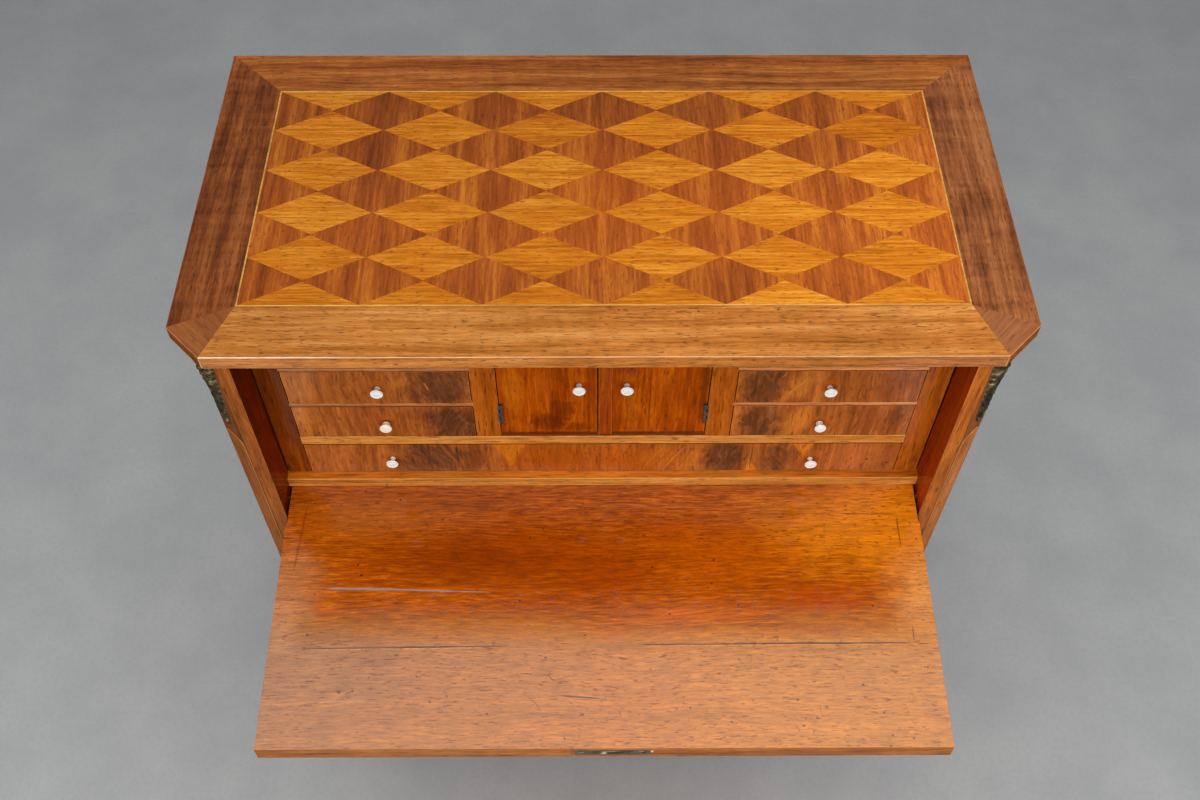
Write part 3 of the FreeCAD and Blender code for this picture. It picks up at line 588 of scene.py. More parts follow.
def shelf_marks(S, c):
    """A curl of darker grain near the left end of the shelf's edge."""
    for x0, z0, x1, z1, wide in ((-306, -212.5, -284, -213.5, 0.8), (-286, -213.4, -273, -217.0, 0.9), (-273, -217.0, -284, -220.5, 0.8)):
        c = S.scratch(c, (x0 / 1000, (z0 + HEIGHT) / 1000), (x1 / 1000, (z1 + HEIGHT) / 1000), wide / 1000, (112, 52, 14), 0.8,
                      0.0008, plane=(0, 2))
    return c


# Painted shade on the left stile: darker towards the top, under the overhang of the top.
def left_stile_painted_shade(S, c):
    return shaded(S, c, (2, (HEIGHT - 260) / 1000, (HEIGHT - 60) / 1000, 1.22, 0.84))


# Painted shade on the thin shelves: darker to the left.
def thin_shelf_painted_shade(S, c):
    return shaded(S, c, (0, -0.30, 0.30, 0.92, 1.50))


M["interior_up"] = wood("interior_up", (118, 54, 8), (176, 89, 17), (206, 122, 42), axis=2, seed=17, fine=(18, 330),
                        broad=(2.6, 80), weights=(0.4, 0.35), pores=0.55, pore_size=(50, 520), mottle=0.10, ior=1.4, spec=0.3, specks=0.3)
# The left interior stile: a darker copy of interior_up, painted shade.
M["stile_left"] = wood("stile_left", (82, 32, 2), (122, 53, 4), (150, 78, 16), axis=2, seed=37, fine=(18, 330),
                       broad=(2.6, 80), pores=0.5, pore_size=(50, 520), mottle=0.12, spec=0.15, marks_and_painted_light=left_stile_painted_shade)
def long_shelf_marks_and_shadow(S, c):
    """A dark strip on the shelf in front of the small doors: old polish built up there, and a painted contact shadow
    under the doors.
    """
    c = shelf_marks(S, c)
    _, y, z = S.xyz(S.p)
    strip = S.math("MULTIPLY", S.remap(y, -0.0240, -0.0252), S.remap(z, 0.8198, 0.8205, 0.0, 0.85))
    strip = S.math("MULTIPLY", strip, S.remap(z, 0.826, 0.824))
    return S.mix(strip, c, lin((118, 38, 6)))


M["interior_x"] = wood("interior_x", (150, 80, 20), (215, 136, 54), (238, 170, 92), axis=0, seed=18, fine=(18, 330),
                       broad=(2.4, 80), pores=0.6, pore_size=(60, 520), specks=0.6, mottle=0.10, edge=0.6, marks_and_painted_light=long_shelf_marks_and_shadow)
M["thin_shelf"] = wood("thin_shelf", (140, 72, 34), (186, 110, 60), (214, 142, 90), axis=0, seed=38, fine=(18, 330),
                       broad=(2.4, 80), pores=0.5, pore_size=(60, 520), mottle=0.12, edge=0.7, marks_and_painted_light=thin_shelf_painted_shade)
M["ledge"] = wood("ledge", (150, 72, 10), (208, 112, 20), (230, 142, 46), axis=0, seed=19, fine=(18, 330), broad=(2.4, 80),
                  pores=0.5, pore_size=(60, 520), specks=0.5, mottle=0.08)
M["ledge_front"] = wood("ledge_front", (156, 88, 28), (219, 142, 60), (240, 172, 96), axis=0, seed=39, fine=(18, 330),
                        broad=(2.4, 80), pores=0.55, pore_size=(100, 600), dashes=0.4, dash_size=(90, 420),
                        dash_cut=(0.66, 0.72), specks=0.8, mottle=0.12, edge=0.3)
# gap: a dark colour put on narrow chamfers as a painted shadow line.
M["gap"] = wood("gap", (34, 14, 6), (52, 22, 9), (74, 34, 14), axis=2, seed=33, pores=0.3, rough=(0.55, 0.7), edge=0.1)


def rim_painted_shade(y):
    """Painted shade on the edges of a front, darkest just behind its face, so the gaps round the front read dark."""
    def marks_and_painted_light(S, c):
        _, back, _ = S.xyz(S.p)
        return S.mix(S.remap(back, depth(y + 0.8), depth(y + 3.2), 0.9, 0.0), c, lin((46, 20, 8)))
    return marks_and_painted_light


# Edges of the fronts: a darker wood, with painted shade just behind the face.
M["drawer_rim"] = wood("drawer_rim", (84, 42, 16), (126, 70, 30), (158, 98, 50), axis=0, seed=51, pores=0.5, pore_size=(60, 520),
                       rough=(0.34, 0.5), mottle=0.10, edge=0.1, marks_and_painted_light=rim_painted_shade(56.0))
M["door_rim"] = wood("door_rim", (84, 40, 12), (130, 68, 24), (160, 96, 44), axis=2, seed=52, pores=0.5, pore_size=(60, 520),
                     rough=(0.34, 0.5), mottle=0.10, edge=0.1, marks_and_painted_light=rim_painted_shade(59.0))
M["door_back"] = wood("door_back", (104, 54, 20), (156, 90, 40), (188, 122, 64), axis=2, seed=53, fine=(14, 320), broad=(2.4, 50),
                      figure=0.08, pores=0.5, pore_size=(70, 560), rough=(0.3, 0.45), mottle=0.10)
M["drawer_box"] = wood("drawer_box", (132, 96, 58), (172, 134, 88), (196, 160, 112), axis=1, seed=20, fine=(10, 260),
                       broad=(1.4, 20), wave=0.02, pores=0.3, rough=(0.48, 0.64), edge=0.2, mottle=0.05)
M["drawer_back"] = wood("drawer_back", (130, 94, 56), (168, 130, 86), (194, 158, 110), axis=0, seed=34, fine=(10, 260),
                        broad=(1.4, 20), wave=0.02, pores=0.3, rough=(0.48, 0.64), edge=0.2, mottle=0.05)
M["drawer_bottom"] = wood("drawer_bottom", (126, 92, 56), (164, 128, 84), (190, 154, 108), axis=0, seed=21, fine=(10, 260),
                          broad=(1.4, 20), wave=0.02, pores=0.3, rough=(0.5, 0.66), edge=0.2, mottle=0.08)


def fall_under(S, c):
    """Colour of the writing surface under its grain: deep orange behind, faded and worn in front."""
    x, y, _ = S.xyz(S.p)
    for at, rx, ry, tint, amount, soft, fine in (
            ((-60, -45), 250, 80, (151, 59, 0), 0.85, 0.8, 9), ((-150, -45), 120, 36, (134, 51, 0), 0.7, 0.9, 14),
            ((-265, 10), 130, 44, (174, 88, 14), 0.8, 0.9, 14), ((130, -40), 120, 70, (181, 80, 0), 0.8, 0.9, 14),
            ((290, 0), 150, 84, (222, 126, 18), 0.95, 0.75, 14), ((225, -86), 72, 28, (170, 66, 0), 0.8, 0.8, 18),
            ((-338, -74), 62, 66, (178, 110, 62), 0.95, 0.9, 18), ((344, -78), 62, 62, (216, 138, 66), 0.95, 0.9, 18),
            ((10, -66), 80, 24, (150, 56, 0), 0.4, 0.9, 22)):
        c = S.stain(c, P(at[0], at[1], -310), (rx / 1000, ry / 1000, 0.4), tint, amount, soft=soft, fine=fine, wobble=0.45)
    faded = S.mix(S.remap(x, -0.33, -0.02), lin((154, 94, 36)), lin((180, 105, 24)))
    faded = S.mix(S.remap(x, -0.02, 0.24), faded, lin((188, 114, 22)))
    front = S.math("ADD", y, S.math("MULTIPLY", S.rough_noise(9.0), 0.06))
    c = S.mix(S.remap(front, depth(-92), depth(-132), 0.0, 0.9), c, faded)
    for at, rx, ry, tint, amount in (((-236, -156), 46, 20, (146, 84, 30), 0.6), ((-130, -120), 70, 16, (168, 92, 20), 0.5),
                                     ((230, -122), 80, 12, (164, 78, 20), 0.6), ((10, -124), 50, 14, (176, 86, 6), 0.5),
                                     ((-330, -182), 26, 42, (140, 80, 40), 0.4), ((60, -196), 70, 16, (176, 98, 10), 0.4),
                                     ((-334, -112), 42, 44, (190, 130, 84), 0.6), ((337, -106), 42, 32, (222, 148, 82), 0.6),
                                     ((95, -104), 84, 15, (206, 98, 8), 0.5)):
        c = S.stain(c, P(at[0], at[1], -310), (rx / 1000, ry / 1000, 0.4), tint, amount, soft=0.9, fine=22, wobble=0.5)
    bright = S.remap(y, depth(-150), depth(-235), 1.0, 1.10, "LINEAR")
    return S.mix(1.0, c, S.join(bright, bright, bright), "MULTIPLY")


def fall_marks(S, c):
    """A split, joints, scratches and ink spots in the writing surface."""
    for x0, y0, x1, y1, wide, tint, amount, wobble, broken in (
            (-317, -75.4, -285, -75.0, 0.8, (128, 96, 84), 0.6, 0.5, 0.3),
            (-294, -75.1, -222, -76.3, 1.7, (136, 134, 138), 0.95, 0.6, 0.0),
            (-236, -76.0, -150, -79.0, 1.3, (142, 134, 132), 0.9, 0.6, 0.0),
            (-160, -78.6, -116, -80.1, 0.9, (142, 130, 124), 0.8, 0.5, 0.0),
            (-313, -141.6, -94, -139.3, 0.9, (70, 28, 4), 0.85, 0.6, 0.0),
            (-220, -140.8, -150, -139.9, 1.2, (60, 24, 4), 0.85, 0.5, 0.0),
            (-300, -143.0, -120, -141.2, 0.7, (222, 160, 90), 0.45, 0.6, 0.1),
            (-49, -191.7, 0, -195.7, 1.0, (62, 24, 4), 0.9, 0.5, 0.0),
            (-323.6, 26.5, -329.4, -58.2, 1.6, (130, 44, 8), 0.5, 0.5, 0.0),
            (33.9, -138.3, 320.2, -137.4, 0.9, (68, 24, 4), 0.9, 0.5, 0.0),
            (160, -137.9, 262, -137.6, 1.3, (60, 20, 2), 0.85, 0.6, 0.0),
            (40, -140.0, 300, -139.0, 0.6, (226, 160, 80), 0.4, 0.5, 0.1),
            (14, -206, 17, -216, 0.9, (140, 52, 14), 0.7, 0.6, 0.0),
            (-72, -196, -64, -206, 0.9, (140, 52, 14), 0.6, 0.6, 0.0),
            (190, -222, 194, -231, 0.8, (140, 52, 14), 0.6, 0.6, 0.0),
            (-58, -170, -50, -178, 0.9, (70, 30, 8), 0.8, 0.5, 0.0),
            (-252, -186, -262, -190, 0.9, (60, 28, 10), 0.8, 0.5, 0.0),
            (320.2, -137.6, 320.6, -118.0, 0.9, (76, 26, 4), 0.8, 0.3, 0.0),
            (320.1, 10.5, 320.6, -32.3, 1.0, (96, 34, 4), 0.75, 0.3, 0.0),
            (141.6, 11.1, 320.1, 10.5, 0.9, (104, 40, 4), 0.6, 0.5, 0.1),
            (215.4, -199.9, 218.1, -217.5, 0.5, (140, 50, 16), 0.6, 0.4, 0.0),
            (-55.1, -166.6, -69.7, -193.9, 0.5, (140, 50, 16), 0.55, 0.4, 0.0),
            (-180, -228, -110, -226, 0.4, (120, 56, 14), 0.5, 0.5, 0.1),
            (90, -172, 150, -170, 0.4, (120, 56, 14), 0.5, 0.5, 0.1)):
        c = S.scratch(c, (x0 / 1000, (y0 - Y_ZERO) / 1000), (x1 / 1000, (y1 - Y_ZERO) / 1000), wide / 1000, tint, amount,
                      wobble / 1000, broken=broken)
    for x, y, r in ((-256.9, -60.2, 1.6), (-59.9, -152.3, 1.3), (-19.7, -128.2, 1.2), (-21.8, -211.7, 1.4),
                    (-117.2, -210.6, 1.3), (-267.2, -188.1, 1.5), (126.7, -219.7, 1.2), (198.1, -223.8, 1.4),
                    (52, -52, 1.3), (141, -96, 1.2), (-190, -172, 1.2), (262, -182, 1.3), (86, -205, 1.1), (-88, -90, 1.2)):
        c = S.stain(c, P(x, y, -310), (r * 1.5 / 1000, r / 1000, 0.4), (44, 18, 6), 0.85, soft=0.5, wobble=0.25, fine=240.0)
    return c


M["fall_wood"] = wood("fall_wood", (138, 58, 0), (170, 78, 1), (198, 106, 14), axis=0, seed=22, fine=(46, 470),
                      broad=(3.0, 80), weights=(0.75, 0.26), gain=2.8, wave=0.008, wave_scale=4.0, pores=0.6, pore_size=(130, 640),
                      pore_cut=(0.61, 0.71), pore_colour=(104, 38, 2), rough=(0.08, 0.12), tone=0.05, specks=0.8,
                      mottle=0.10, mottle_scale=70.0, under=fall_under, grain=0.30, dashes=0.5, dash_size=(90, 430),
                      dash_cut=(0.69, 0.75), marks_and_painted_light=fall_marks, edge=0.3, bump=0.06)


# Painted shade on the front edge of the fall, darker to the left; near the lock, a small light chip and a dark stain.
def fall_edge_marks_and_shade(S, c):
    c = shaded(S, c, (0, -0.34, 0.34, 0.93, 1.20))
    c = S.stain(c, P(47.0, -246, -318.6), (0.0014, 0.03, 0.0028), (250, 214, 168), 0.95, soft=0.5, wobble=0.2, fine=300.0)
    return S.stain(c, P(-31.5, -246, -318), (0.004, 0.03, 0.012), (110, 52, 16), 0.6, soft=0.8, wobble=0.3, fine=200.0)


M["fall_edge"] = wood("fall_edge", (112, 56, 12), (162, 91, 29), (190, 118, 52), axis=0, seed=40, fine=(16, 330), broad=(2.4, 70),
                      pores=0.6, pore_size=(60, 520), dashes=0.35, dash_size=(80, 420), mottle=0.14, mottle_scale=60.0, specks=0.6, spec=0.08,
                      marks_and_painted_light=fall_edge_marks_and_shade)

GOLD, BLACK, BROWN, BRIGHT = (204, 120, 42), (84, 50, 34), (108, 62, 36), (222, 130, 34)


def patches(S, c, y, rows):
    """Patches of figure on an upright front: place, half sizes, tint, amount, turn, wobble, grain of the outline."""
    for x, z, rx, rz, tint, amount, turn, wobble, fine in rows:
        c = S.stain(c, P(x, y, z), (rx / 1000, 0.5, rz / 1000), tint, amount, soft=0.7, turn=math.radians(turn),
                    wobble=wobble, fine=fine)
    return c


def wedges(S, c, y, rows):
    """Pointed patches of bright wood between two darker ones."""
    for x, z, rx, rz, tint, amount, turn in rows:
        c = S.stain(c, P(x, y, z), (rx / 1000, 0.5, rz / 1000), tint, amount, soft=0.34, turn=math.radians(turn),
                    wobble=0.16, fine=70.0, pointed=True)
    return c


def crotch(S, c, y, rows):
    """Dark crotch figure: swirling dark and lighter fibres inside a soft outline."""
    for x, z, rx, rz, amount, turn in rows:
        at = P(x, y, z)
        d = S.vec("SUBTRACT", S.p, tuple(at))
        q = S.vec("MULTIPLY", S.spin(d, math.radians(turn), "Y_AXIS"), (120.0, 60.0, 34.0))
        swirl = S.noise(S.vec("ADD", q, (x * 0.31, 4.7, z * 0.17)), detail=4.0, rough=0.55, distort=1.4)
        fibre = S.ramp(swirl, [(0.28, lin((72, 43, 28))), (0.46, lin((97, 57, 34))), (0.58, lin((114, 67, 38))), (0.74, lin((150, 90, 48)))])
        r = S.vec("LENGTH", S.vec("DIVIDE", d, (rx / 1000, 0.5, rz / 1000)))
        r = S.math("ADD", r, S.math("MULTIPLY", S.rough_noise(34.0), 1.2))
        r = S.math("ADD", r, S.math("MULTIPLY", S.math("SUBTRACT", swirl, 0.5), 0.6))
        c = S.mix(S.remap(r, 1.12, 0.40, 0.0, amount), c, fibre)
    return c


def rays(S, c, rows):
    """Thin curved lines of figure on an upright front: ends in (x, z), width, tint, amount, waviness."""
    for x0, z0, x1, z1, wide, tint, amount, wobble in rows:
        c = S.scratch(c, (x0 / 1000, (z0 + HEIGHT) / 1000), (x1 / 1000, (z1 + HEIGHT) / 1000), wide / 1000, tint, amount,
                      wobble / 1000, plane=(0, 2))
    return c


def knob_painted_reflection(S, c, x, z, y=56.0):
    """A warm painted reflection in the polish about a knob, centred a little above it."""
    return S.stain(c, P(x, y, z + 6), (0.012, 0.05, 0.012), (184, 90, 8), 0.85, soft=0.9, wobble=0.25, fine=120.0)


# soft patches, wedges, dark crotch and thin lines of each drawer front, and the knobs about which a warm painted
# reflection goes
FIGURE = {
    "upper_left": ([(-308, -121, 26, 40, GOLD, 0.6, 0, 0.5, 30), (-200, -112, 20, 9, GOLD, 0.55, 25, 0.5, 60),
                    (-250, -128, 22, 40, (150, 78, 30), 0.4, 0, 0.6, 40)], [],
                   [(-164, -122, 40, 42, 0.95, 14)],
                   [(-181, -112, -175, -128, 1.5, (206, 112, 50), 0.85, 4), (-160, -104, -150, -112, 1.0, (170, 100, 56), 0.6, 4),
                    (-205, -140, -190, -100, 1.2, (120, 60, 26), 0.5, 5)], [(-226.3, -122.3)]),
    "lower_left": ([(-312, -178, 30, 40, GOLD, 0.6, 0, 0.5, 30), (-240, -180, 34, 40, (150, 74, 34), 0.4, 0, 0.5, 30),
                    (-196, -170, 14, 16, (136, 70, 36), 0.5, 0, 0.6, 60)], [],
                   [(-156, -186, 38, 38, 0.95, -22)],
                   [(-150, -166, -138, -190, 1.0, (150, 96, 62), 0.6, 5), (-190, -200, -182, -160, 1.0, (110, 56, 28), 0.5, 5)],
                   [(-225.4, -182.8)]),
    "upper_right": ([(137, -122, 8, 40, GOLD, 0.5, 0, 0.5, 50), (198, -120, 20, 40, (206, 124, 50), 0.8, -30, 0.5, 40),
                     (290, -124, 30, 40, (146, 72, 34), 0.5, 0, 0.5, 30)], [],
                    [(161, -122, 26, 44, 0.92, 4)],
                    [(184, -140, 208, -101, 1.6, (214, 134, 50), 0.7, 4), (176, -108, 182, -98, 1.2, GOLD, 0.6, 3)],
                    [(227.0, -122.3)]),
    "lower_right": ([(138, -182, 7, 40, GOLD, 0.6, 0, 0.5, 50), (280, -182, 34, 40, (140, 68, 38), 0.55, 0, 0.5, 30),
                     (304, -180, 8, 34, (112, 54, 32), 0.5, 0, 0.5, 50), (202, -181, 17, 40, (206, 124, 48), 0.75, -20, 0.5, 40)], [],
                    [(164, -182, 27, 44, 0.92, -4)],
                    [(146, -186, 138, -178, 1.4, GOLD, 0.7, 3)], [(225.2, -184.3)]),
    "long": ([(-290, -252, 40, 40, (176, 96, 44), 0.4, 0, 0.5, 25), (-139, -252, 17, 40, (110, 54, 28), 0.7, 0, 0.5, 60),
              (-50, -252, 90, 50, (186, 86, 2), 0.75, 0, 0.4, 25), (40, -252, 60, 50, (190, 90, 4), 0.65, 0, 0.4, 25),
              (62, -250, 24, 34, (206, 116, 30), 0.5, -25, 0.4, 40), (97, -250, 14, 34, BRIGHT, 0.5, -20, 0.5, 50),
              (266, -252, 44, 40, (190, 106, 54), 0.7, 0, 0.5, 30), (304, -252, 16, 40, (150, 76, 40), 0.5, 0, 0.5, 30)],
             [(-100, -222, 22, 52, (214, 120, 24), 0.9, 0), (-128, -282, 16, 26, (176, 96, 40), 0.7, 0), (163, -284, 12, 32, BRIGHT, 0.85, 8),
              (214, -220, 16, 36, BRIGHT, 0.85, 8)],
             [(-184, -252, 46, 46, 0.92, 18), (130, -251, 29, 44, 0.9, -12), (190, -252, 22, 40, 0.7, 30)],
             [(-172, -233, -153.5, -269, 1.3, (176, 84, 40), 0.8, 2), (-190, -232, -160, -262, 0.9, (150, 84, 44), 0.55, 4),
              (-157.3, -224, -157.3, -277, 0.8, (52, 22, 12), 0.7, 0.3), (-3.2, -224, -3.2, -277, 0.6, (110, 50, 16), 0.75, 0.2),
              (88, -228, 66, -274, 1.2, (222, 140, 52), 0.6, 2), (76, -228, 54, -274, 1.0, (130, 62, 20), 0.5, 2),
              (100, -228, 80, -274, 1.0, (140, 66, 22), 0.5, 2), (64, -228, 44, -274, 1.0, (216, 132, 48), 0.5, 2),
              (160.9, -224, 160.9, -277, 0.8, (58, 26, 14), 0.7, 0.3)],
             [(-227.4, -250.4), (224.8, -252.2)]),
}


def figured(name, seed, axis=2):
    spots, points, darks, lines, knobs = FIGURE[name]

    def under(S, c):
        c = patches(S, c, 56.0, spots)
        c = crotch(S, c, 56.0, darks)
        return wedges(S, c, 56.0, points)

    def marks_and_painted_light(S, c):
        c = rays(S, c, lines)
        # a warm painted reflection about each knob
        for x, z in knobs:
            c = knob_painted_reflection(S, c, x, z)
        if name == "long":
            c = patches(S, c, 56.0, [(286.9, -255, 2.2, 3.4, (58, 26, 14), 0.85, 20, 0.3, 200),
                                     (310, -262, 3.0, 3.0, (70, 32, 18), 0.7, 0, 0.3, 200)])
        return c

    return wood("drawer_" + name, (116, 57, 20), (168, 91, 36), (200, 122, 56), axis=axis, seed=seed, fine=(26, 330), spec=0.3,
                broad=(6, 90), weights=(0.4, 0.38), wave=0.007, wave_scale=10.0, pores=0.45, pore_size=(90, 600), edge=0.6,
                mottle=0.10, mottle_scale=60.0, under=under, grain=0.22, marks_and_painted_light=marks_and_painted_light)


def left_door_marks(S, c):
    c = patches(S, c, 59.0, [(-92, -125, 14, 80, (206, 110, 16), 0.6, 0, 0.5, 30), (-56, -186, 26, 22, (96, 34, 4), 0.7, 0, 0.6, 60),
                             (-38, -165, 16, 24, (104, 40, 4), 0.6, 0, 0.6, 60), (-12, -120, 10, 90, (130, 52, 6), 0.5, 0, 0.4, 30),
                             (-60, -120, 22, 40, (190, 92, 10), 0.4, 0, 0.5, 40), (-28, -196, 16, 14, (110, 40, 6), 0.6, 0, 0.6, 60)])
    # a warm painted reflection about the knob
    return knob_painted_reflection(S, c, -24.4, -119, 59.0)


def right_door_marks(S, c):
    c = patches(S, c, 59.0, [(29, -165, 16, 60, (206, 108, 16), 0.55, 0, 0.5, 30), (102, -120, 7, 95, (92, 36, 6), 0.75, 0, 0.3, 30),
                             (70, -150, 14, 70, (150, 66, 6), 0.4, 0, 0.5, 30), (22, -96, 16, 14, (120, 50, 30), 0.5, 0, 0.5, 60),
                             (60, -100, 10, 60, (196, 96, 12), 0.35, 0, 0.5, 30)])
    c = rays(S, c, [(47.8, -30, 47.8, -206, 0.8, (92, 36, 4), 0.6, 1.5)])
    # a warm painted reflection about the knob
    return knob_painted_reflection(S, c, 23.8, -119, 59.0)


def door_foot_polish_and_shadow(S, c):
    """Dark red along the foot of a door: old polish gathered there, and a painted contact shadow where the door meets
    the shelf.
    """
    _, _, z = S.xyz(S.p)
    foot = S.math("ADD", z, S.math("MULTIPLY", S.rough_noise(40.0), 0.003))
    return S.mix(S.remap(foot, 0.8264, 0.8236, 0.0, 0.85), c, lin((96, 26, 2)))


DOOR = dict(axis=2, spec=0.25, fine=(16, 330), broad=(3.0, 70), pores=0.45, pore_size=(90, 600), figure=0.05, mottle=0.14, mottle_scale=70.0,
            grain=0.22, specks=0.5, weights=(0.5, 0.4), marks_and_painted_light=door_foot_polish_and_shadow)
M["door_l"] = wood("door_left", (120, 44, 0), (174, 74, 1), (206, 108, 14), seed=23, under=left_door_marks, **DOOR)
M["door_r"] = wood("door_right", (120, 44, 0), (174, 74, 1), (206, 108, 14), seed=35, under=right_door_marks, **DOOR)
M["door_strip"] = wood("door_strip", (112, 42, 6), (164, 70, 12), (194, 102, 34), axis=2, seed=24, pores=0.4, pore_size=(80, 900),
                       marks_and_painted_light=door_foot_polish_and_shadow)
LONG = dict(axis=0, fine=(15, 350), broad=(2.0, 46), weights=(0.6, 0.55), wave=0.022, wave_scale=3.2, pores=0.55, pore_size=(100, 620),
            dashes=0.3, dash_size=(30, 430), dash_cut=(0.66, 0.73), figure=0.10, figure_size=(46, 9), mottle=0.08, mottle_scale=46.0,
            specks=0.4)
M["low_drawer"] = wood("low_drawer", (100, 49, 17), (158, 86, 34), (196, 120, 56), seed=26, **LONG)
M["fall_outside"] = wood("fall_outside", (104, 50, 16), (162, 88, 33), (200, 122, 56), seed=54, **LONG)


def board_marks(S, c):
    """Four boards side by side, each a little different in tone."""
    x, _, _ = S.xyz(S.p)
    for at, a, b in ((-205, 1.06, 0.94), (-18, 0.95, 1.05), (172, 1.04, 0.95)):
        k = S.remap(x, (at - 0.4) / 1000, (at + 0.4) / 1000, a, b)
        c = S.mix(1.0, c, S.join(k, k, k), "MULTIPLY")
        c = S.scratch(c, (at / 1000, 0.05), (at / 1000, 1.05), 0.0008, (40, 26, 14), 0.9, 0.0002, plane=(0, 2))
    return c


M["back_boards"] = wood("back_boards", (112, 76, 44), (154, 114, 72), (182, 144, 98), axis=2, seed=55, fine=(12, 300), broad=(1.8, 34),
                        wave=0.018, wave_scale=2.6, pores=0.5, pore_size=(50, 520), rough=(0.5, 0.68), edge=0.2, mottle=0.07,
                        dashes=0.35, dash_size=(16, 300), specks=0.4, marks_and_painted_light=board_marks)

M["bronze"] = metal("bronze", (90, 79, 54), (160, 148, 112), (38, 33, 23), rough=(0.42, 0.62), scale=90.0, bump=0.3)
M["hinge"] = metal("hinge", (46, 42, 38), (104, 96, 88), (24, 20, 17), rough=(0.4, 0.55), scale=120.0, bump=0.1, metallic=0.4)
M["brass"] = metal("brass", (176, 134, 62), (232, 196, 120), (92, 62, 24), rough=(0.18, 0.36), scale=70.0, bump=0.08)
M["steel"] = metal("steel", (120, 116, 110), (190, 188, 184), (58, 52, 46), rough=(0.28, 0.46), scale=120.0, bump=0.1)


def lock_wear_and_highlights(S, c):
    """A bright line along the bolt's edge, rubbed metal with a painted highlight on it, and painted highlights at the
    screws.
    """
    for x0, z0, x1, z1, wide, amount in ((-7, -325.4, 18, -319.4, 1.5, 0.95), (-5, -321.0, 2, -320.0, 1.2, 0.35), (-26, -320.8, -20, -320.2, 1.1, 0.7),
                                         (33, -319.0, 40, -318.6, 1.0, 0.5)):
        c = S.scratch(c, (x0 / 1000, (z0 + HEIGHT) / 1000), (x1 / 1000, (z1 + HEIGHT) / 1000), wide / 1000, (226, 212, 180), amount,
                      0.0003, plane=(0, 2))
    return c


M["lock_metal"] = metal("lock_metal", (62, 55, 42), (104, 95, 74), (34, 29, 21), rough=(0.36, 0.55), scale=120.0,
                        bump=0.1, brushed=0, metallic=0.5, marks_and_painted_light=lock_wear_and_highlights)
M["bolt_metal"] = metal("bolt_metal", (74, 66, 50), (120, 110, 88), (38, 32, 24), rough=(0.34, 0.5), scale=140.0,
                        bump=0.1, brushed=0, metallic=0.5, marks_and_painted_light=lock_wear_and_highlights)


def white_material(name, base, warm, grime):
    S = Shader(name)
    n = S.noise(S.p, detail=4.0, rough=0.6, scale=160.0)
    colour = S.mix(S.remap(n, 0.35, 0.7), lin(base), lin(warm))
    hollow = S.new("ShaderNodeNewGeometry").outputs["Pointiness"]
    colour = S.mix(S.remap(hollow, 0.49, 0.42, 0.0, 0.5), colour, lin(grime))
    S.set(Base_Color=colour, Roughness=S.remap(n, 0.3, 0.7, 0.12, 0.24, "LINEAR"),
          Coat_Weight=0.5, Coat_Roughness=0.05)
    S.bump(n, 0.03, 0.0002)
    return S.mat


M["white_knob"] = white_material("white_knob", (249, 255, 255), (244, 253, 252), (224, 218, 204))
M["ivory_knob"] = white_material("ivory_knob", (254, 246, 230), (250, 234, 208), (206, 176, 136))

# ================================================================ top
TOP_W, TOP_D, TOP_T, CUT = 800.0, 415.7, 15.8, 35.4
hw = TOP_W / 2
bx, by0, by1 = hw - 59.2, 60.2, TOP_D - 58.6
VENEER = 0.6


def beyond(x, y, a, b):
    """Side of the line a-b that a point lies on."""
    return (b[0] - a[0]) * (y - a[1]) - (b[1] - a[1]) * (x - a[0])


def top_region(x, y):
    """0 front, 1 back, 2 left, 3 right, 4 left corner, 5 right corner, 6 field."""
    if abs(x) < bx and by0 < y < by1:
        return 6
    ax = abs(x)
    if y < (by0 + by1) / 2:
        if beyond(ax, y, (bx, by0), (hw - CUT, 0)) > 0:
            if beyond(ax, y, (bx, by0), (hw, CUT)) > 0:
                return 2 if x < 0 else 3
            return 4 if x < 0 else 5
        return 0
    if beyond(ax, y, (bx, by1), (hw, TOP_D)) > 0:
        return 1
    return 2 if x < 0 else 3


bm = bmesh.new()
prism(bm, [(-hw + CUT, 0), (hw - CUT, 0), (hw, CUT), (hw, TOP_D), (-hw, TOP_D), (-hw, CUT)], -TOP_T, 0)
round_edges(bm, 0.0008, 3)


def slice_top(a, b):
    a, b = P(a[0], a[1], 0), P(b[0], b[1], 0)
    d = b - a
    bmesh.ops.bisect_plane(bm, geom=bm.verts[:] + bm.edges[:] + bm.faces[:], plane_co=a,
                           plane_no=Vector((d.y, -d.x, 0)).normalized(), dist=1e-7)


for s in (-1, 1):
    slice_top((s * bx, by0), (s * bx, by1))
    slice_top((s * bx, by0), (s * (hw - CUT), 0))
    slice_top((s * bx, by0), (s * hw, CUT))
    slice_top((s * bx, by1), (s * hw, TOP_D))
slice_top((-bx, by0), (bx, by0))
slice_top((-bx, by1), (bx, by1))
field = []
bm.normal_update()
for f in bm.faces:
    c = f.calc_center_median()
    x, y, z = c.x * 1000, c.y * 1000 + Y_ZERO, c.z * 1000 - HEIGHT
    k = top_region(x, y)
    if k == 6:
        k = 0
        if z > -0.1:
            field.append(f)
    turned = f.normal.y < -0.6 and abs(f.normal.x) > 0.6
    arris = f.normal.y < -0.15 and abs(f.normal.x) < 0.1 and 0.2 < f.normal.z < 0.98
    f.material_index = 6 if z < -TOP_T + 0.2 else 7 if f.normal.y < -0.95 else 9 if turned else 8 if arris else k
pocket = bmesh.ops.extrude_face_region(bm, geom=field)
bmesh.ops.translate(bm, vec=(0, 0, -VENEER / 1000), verts=[g for g in pocket["geom"] if isinstance(g, bmesh.types.BMVert)])
bmesh.ops.delete(bm, geom=field, context="FACES")
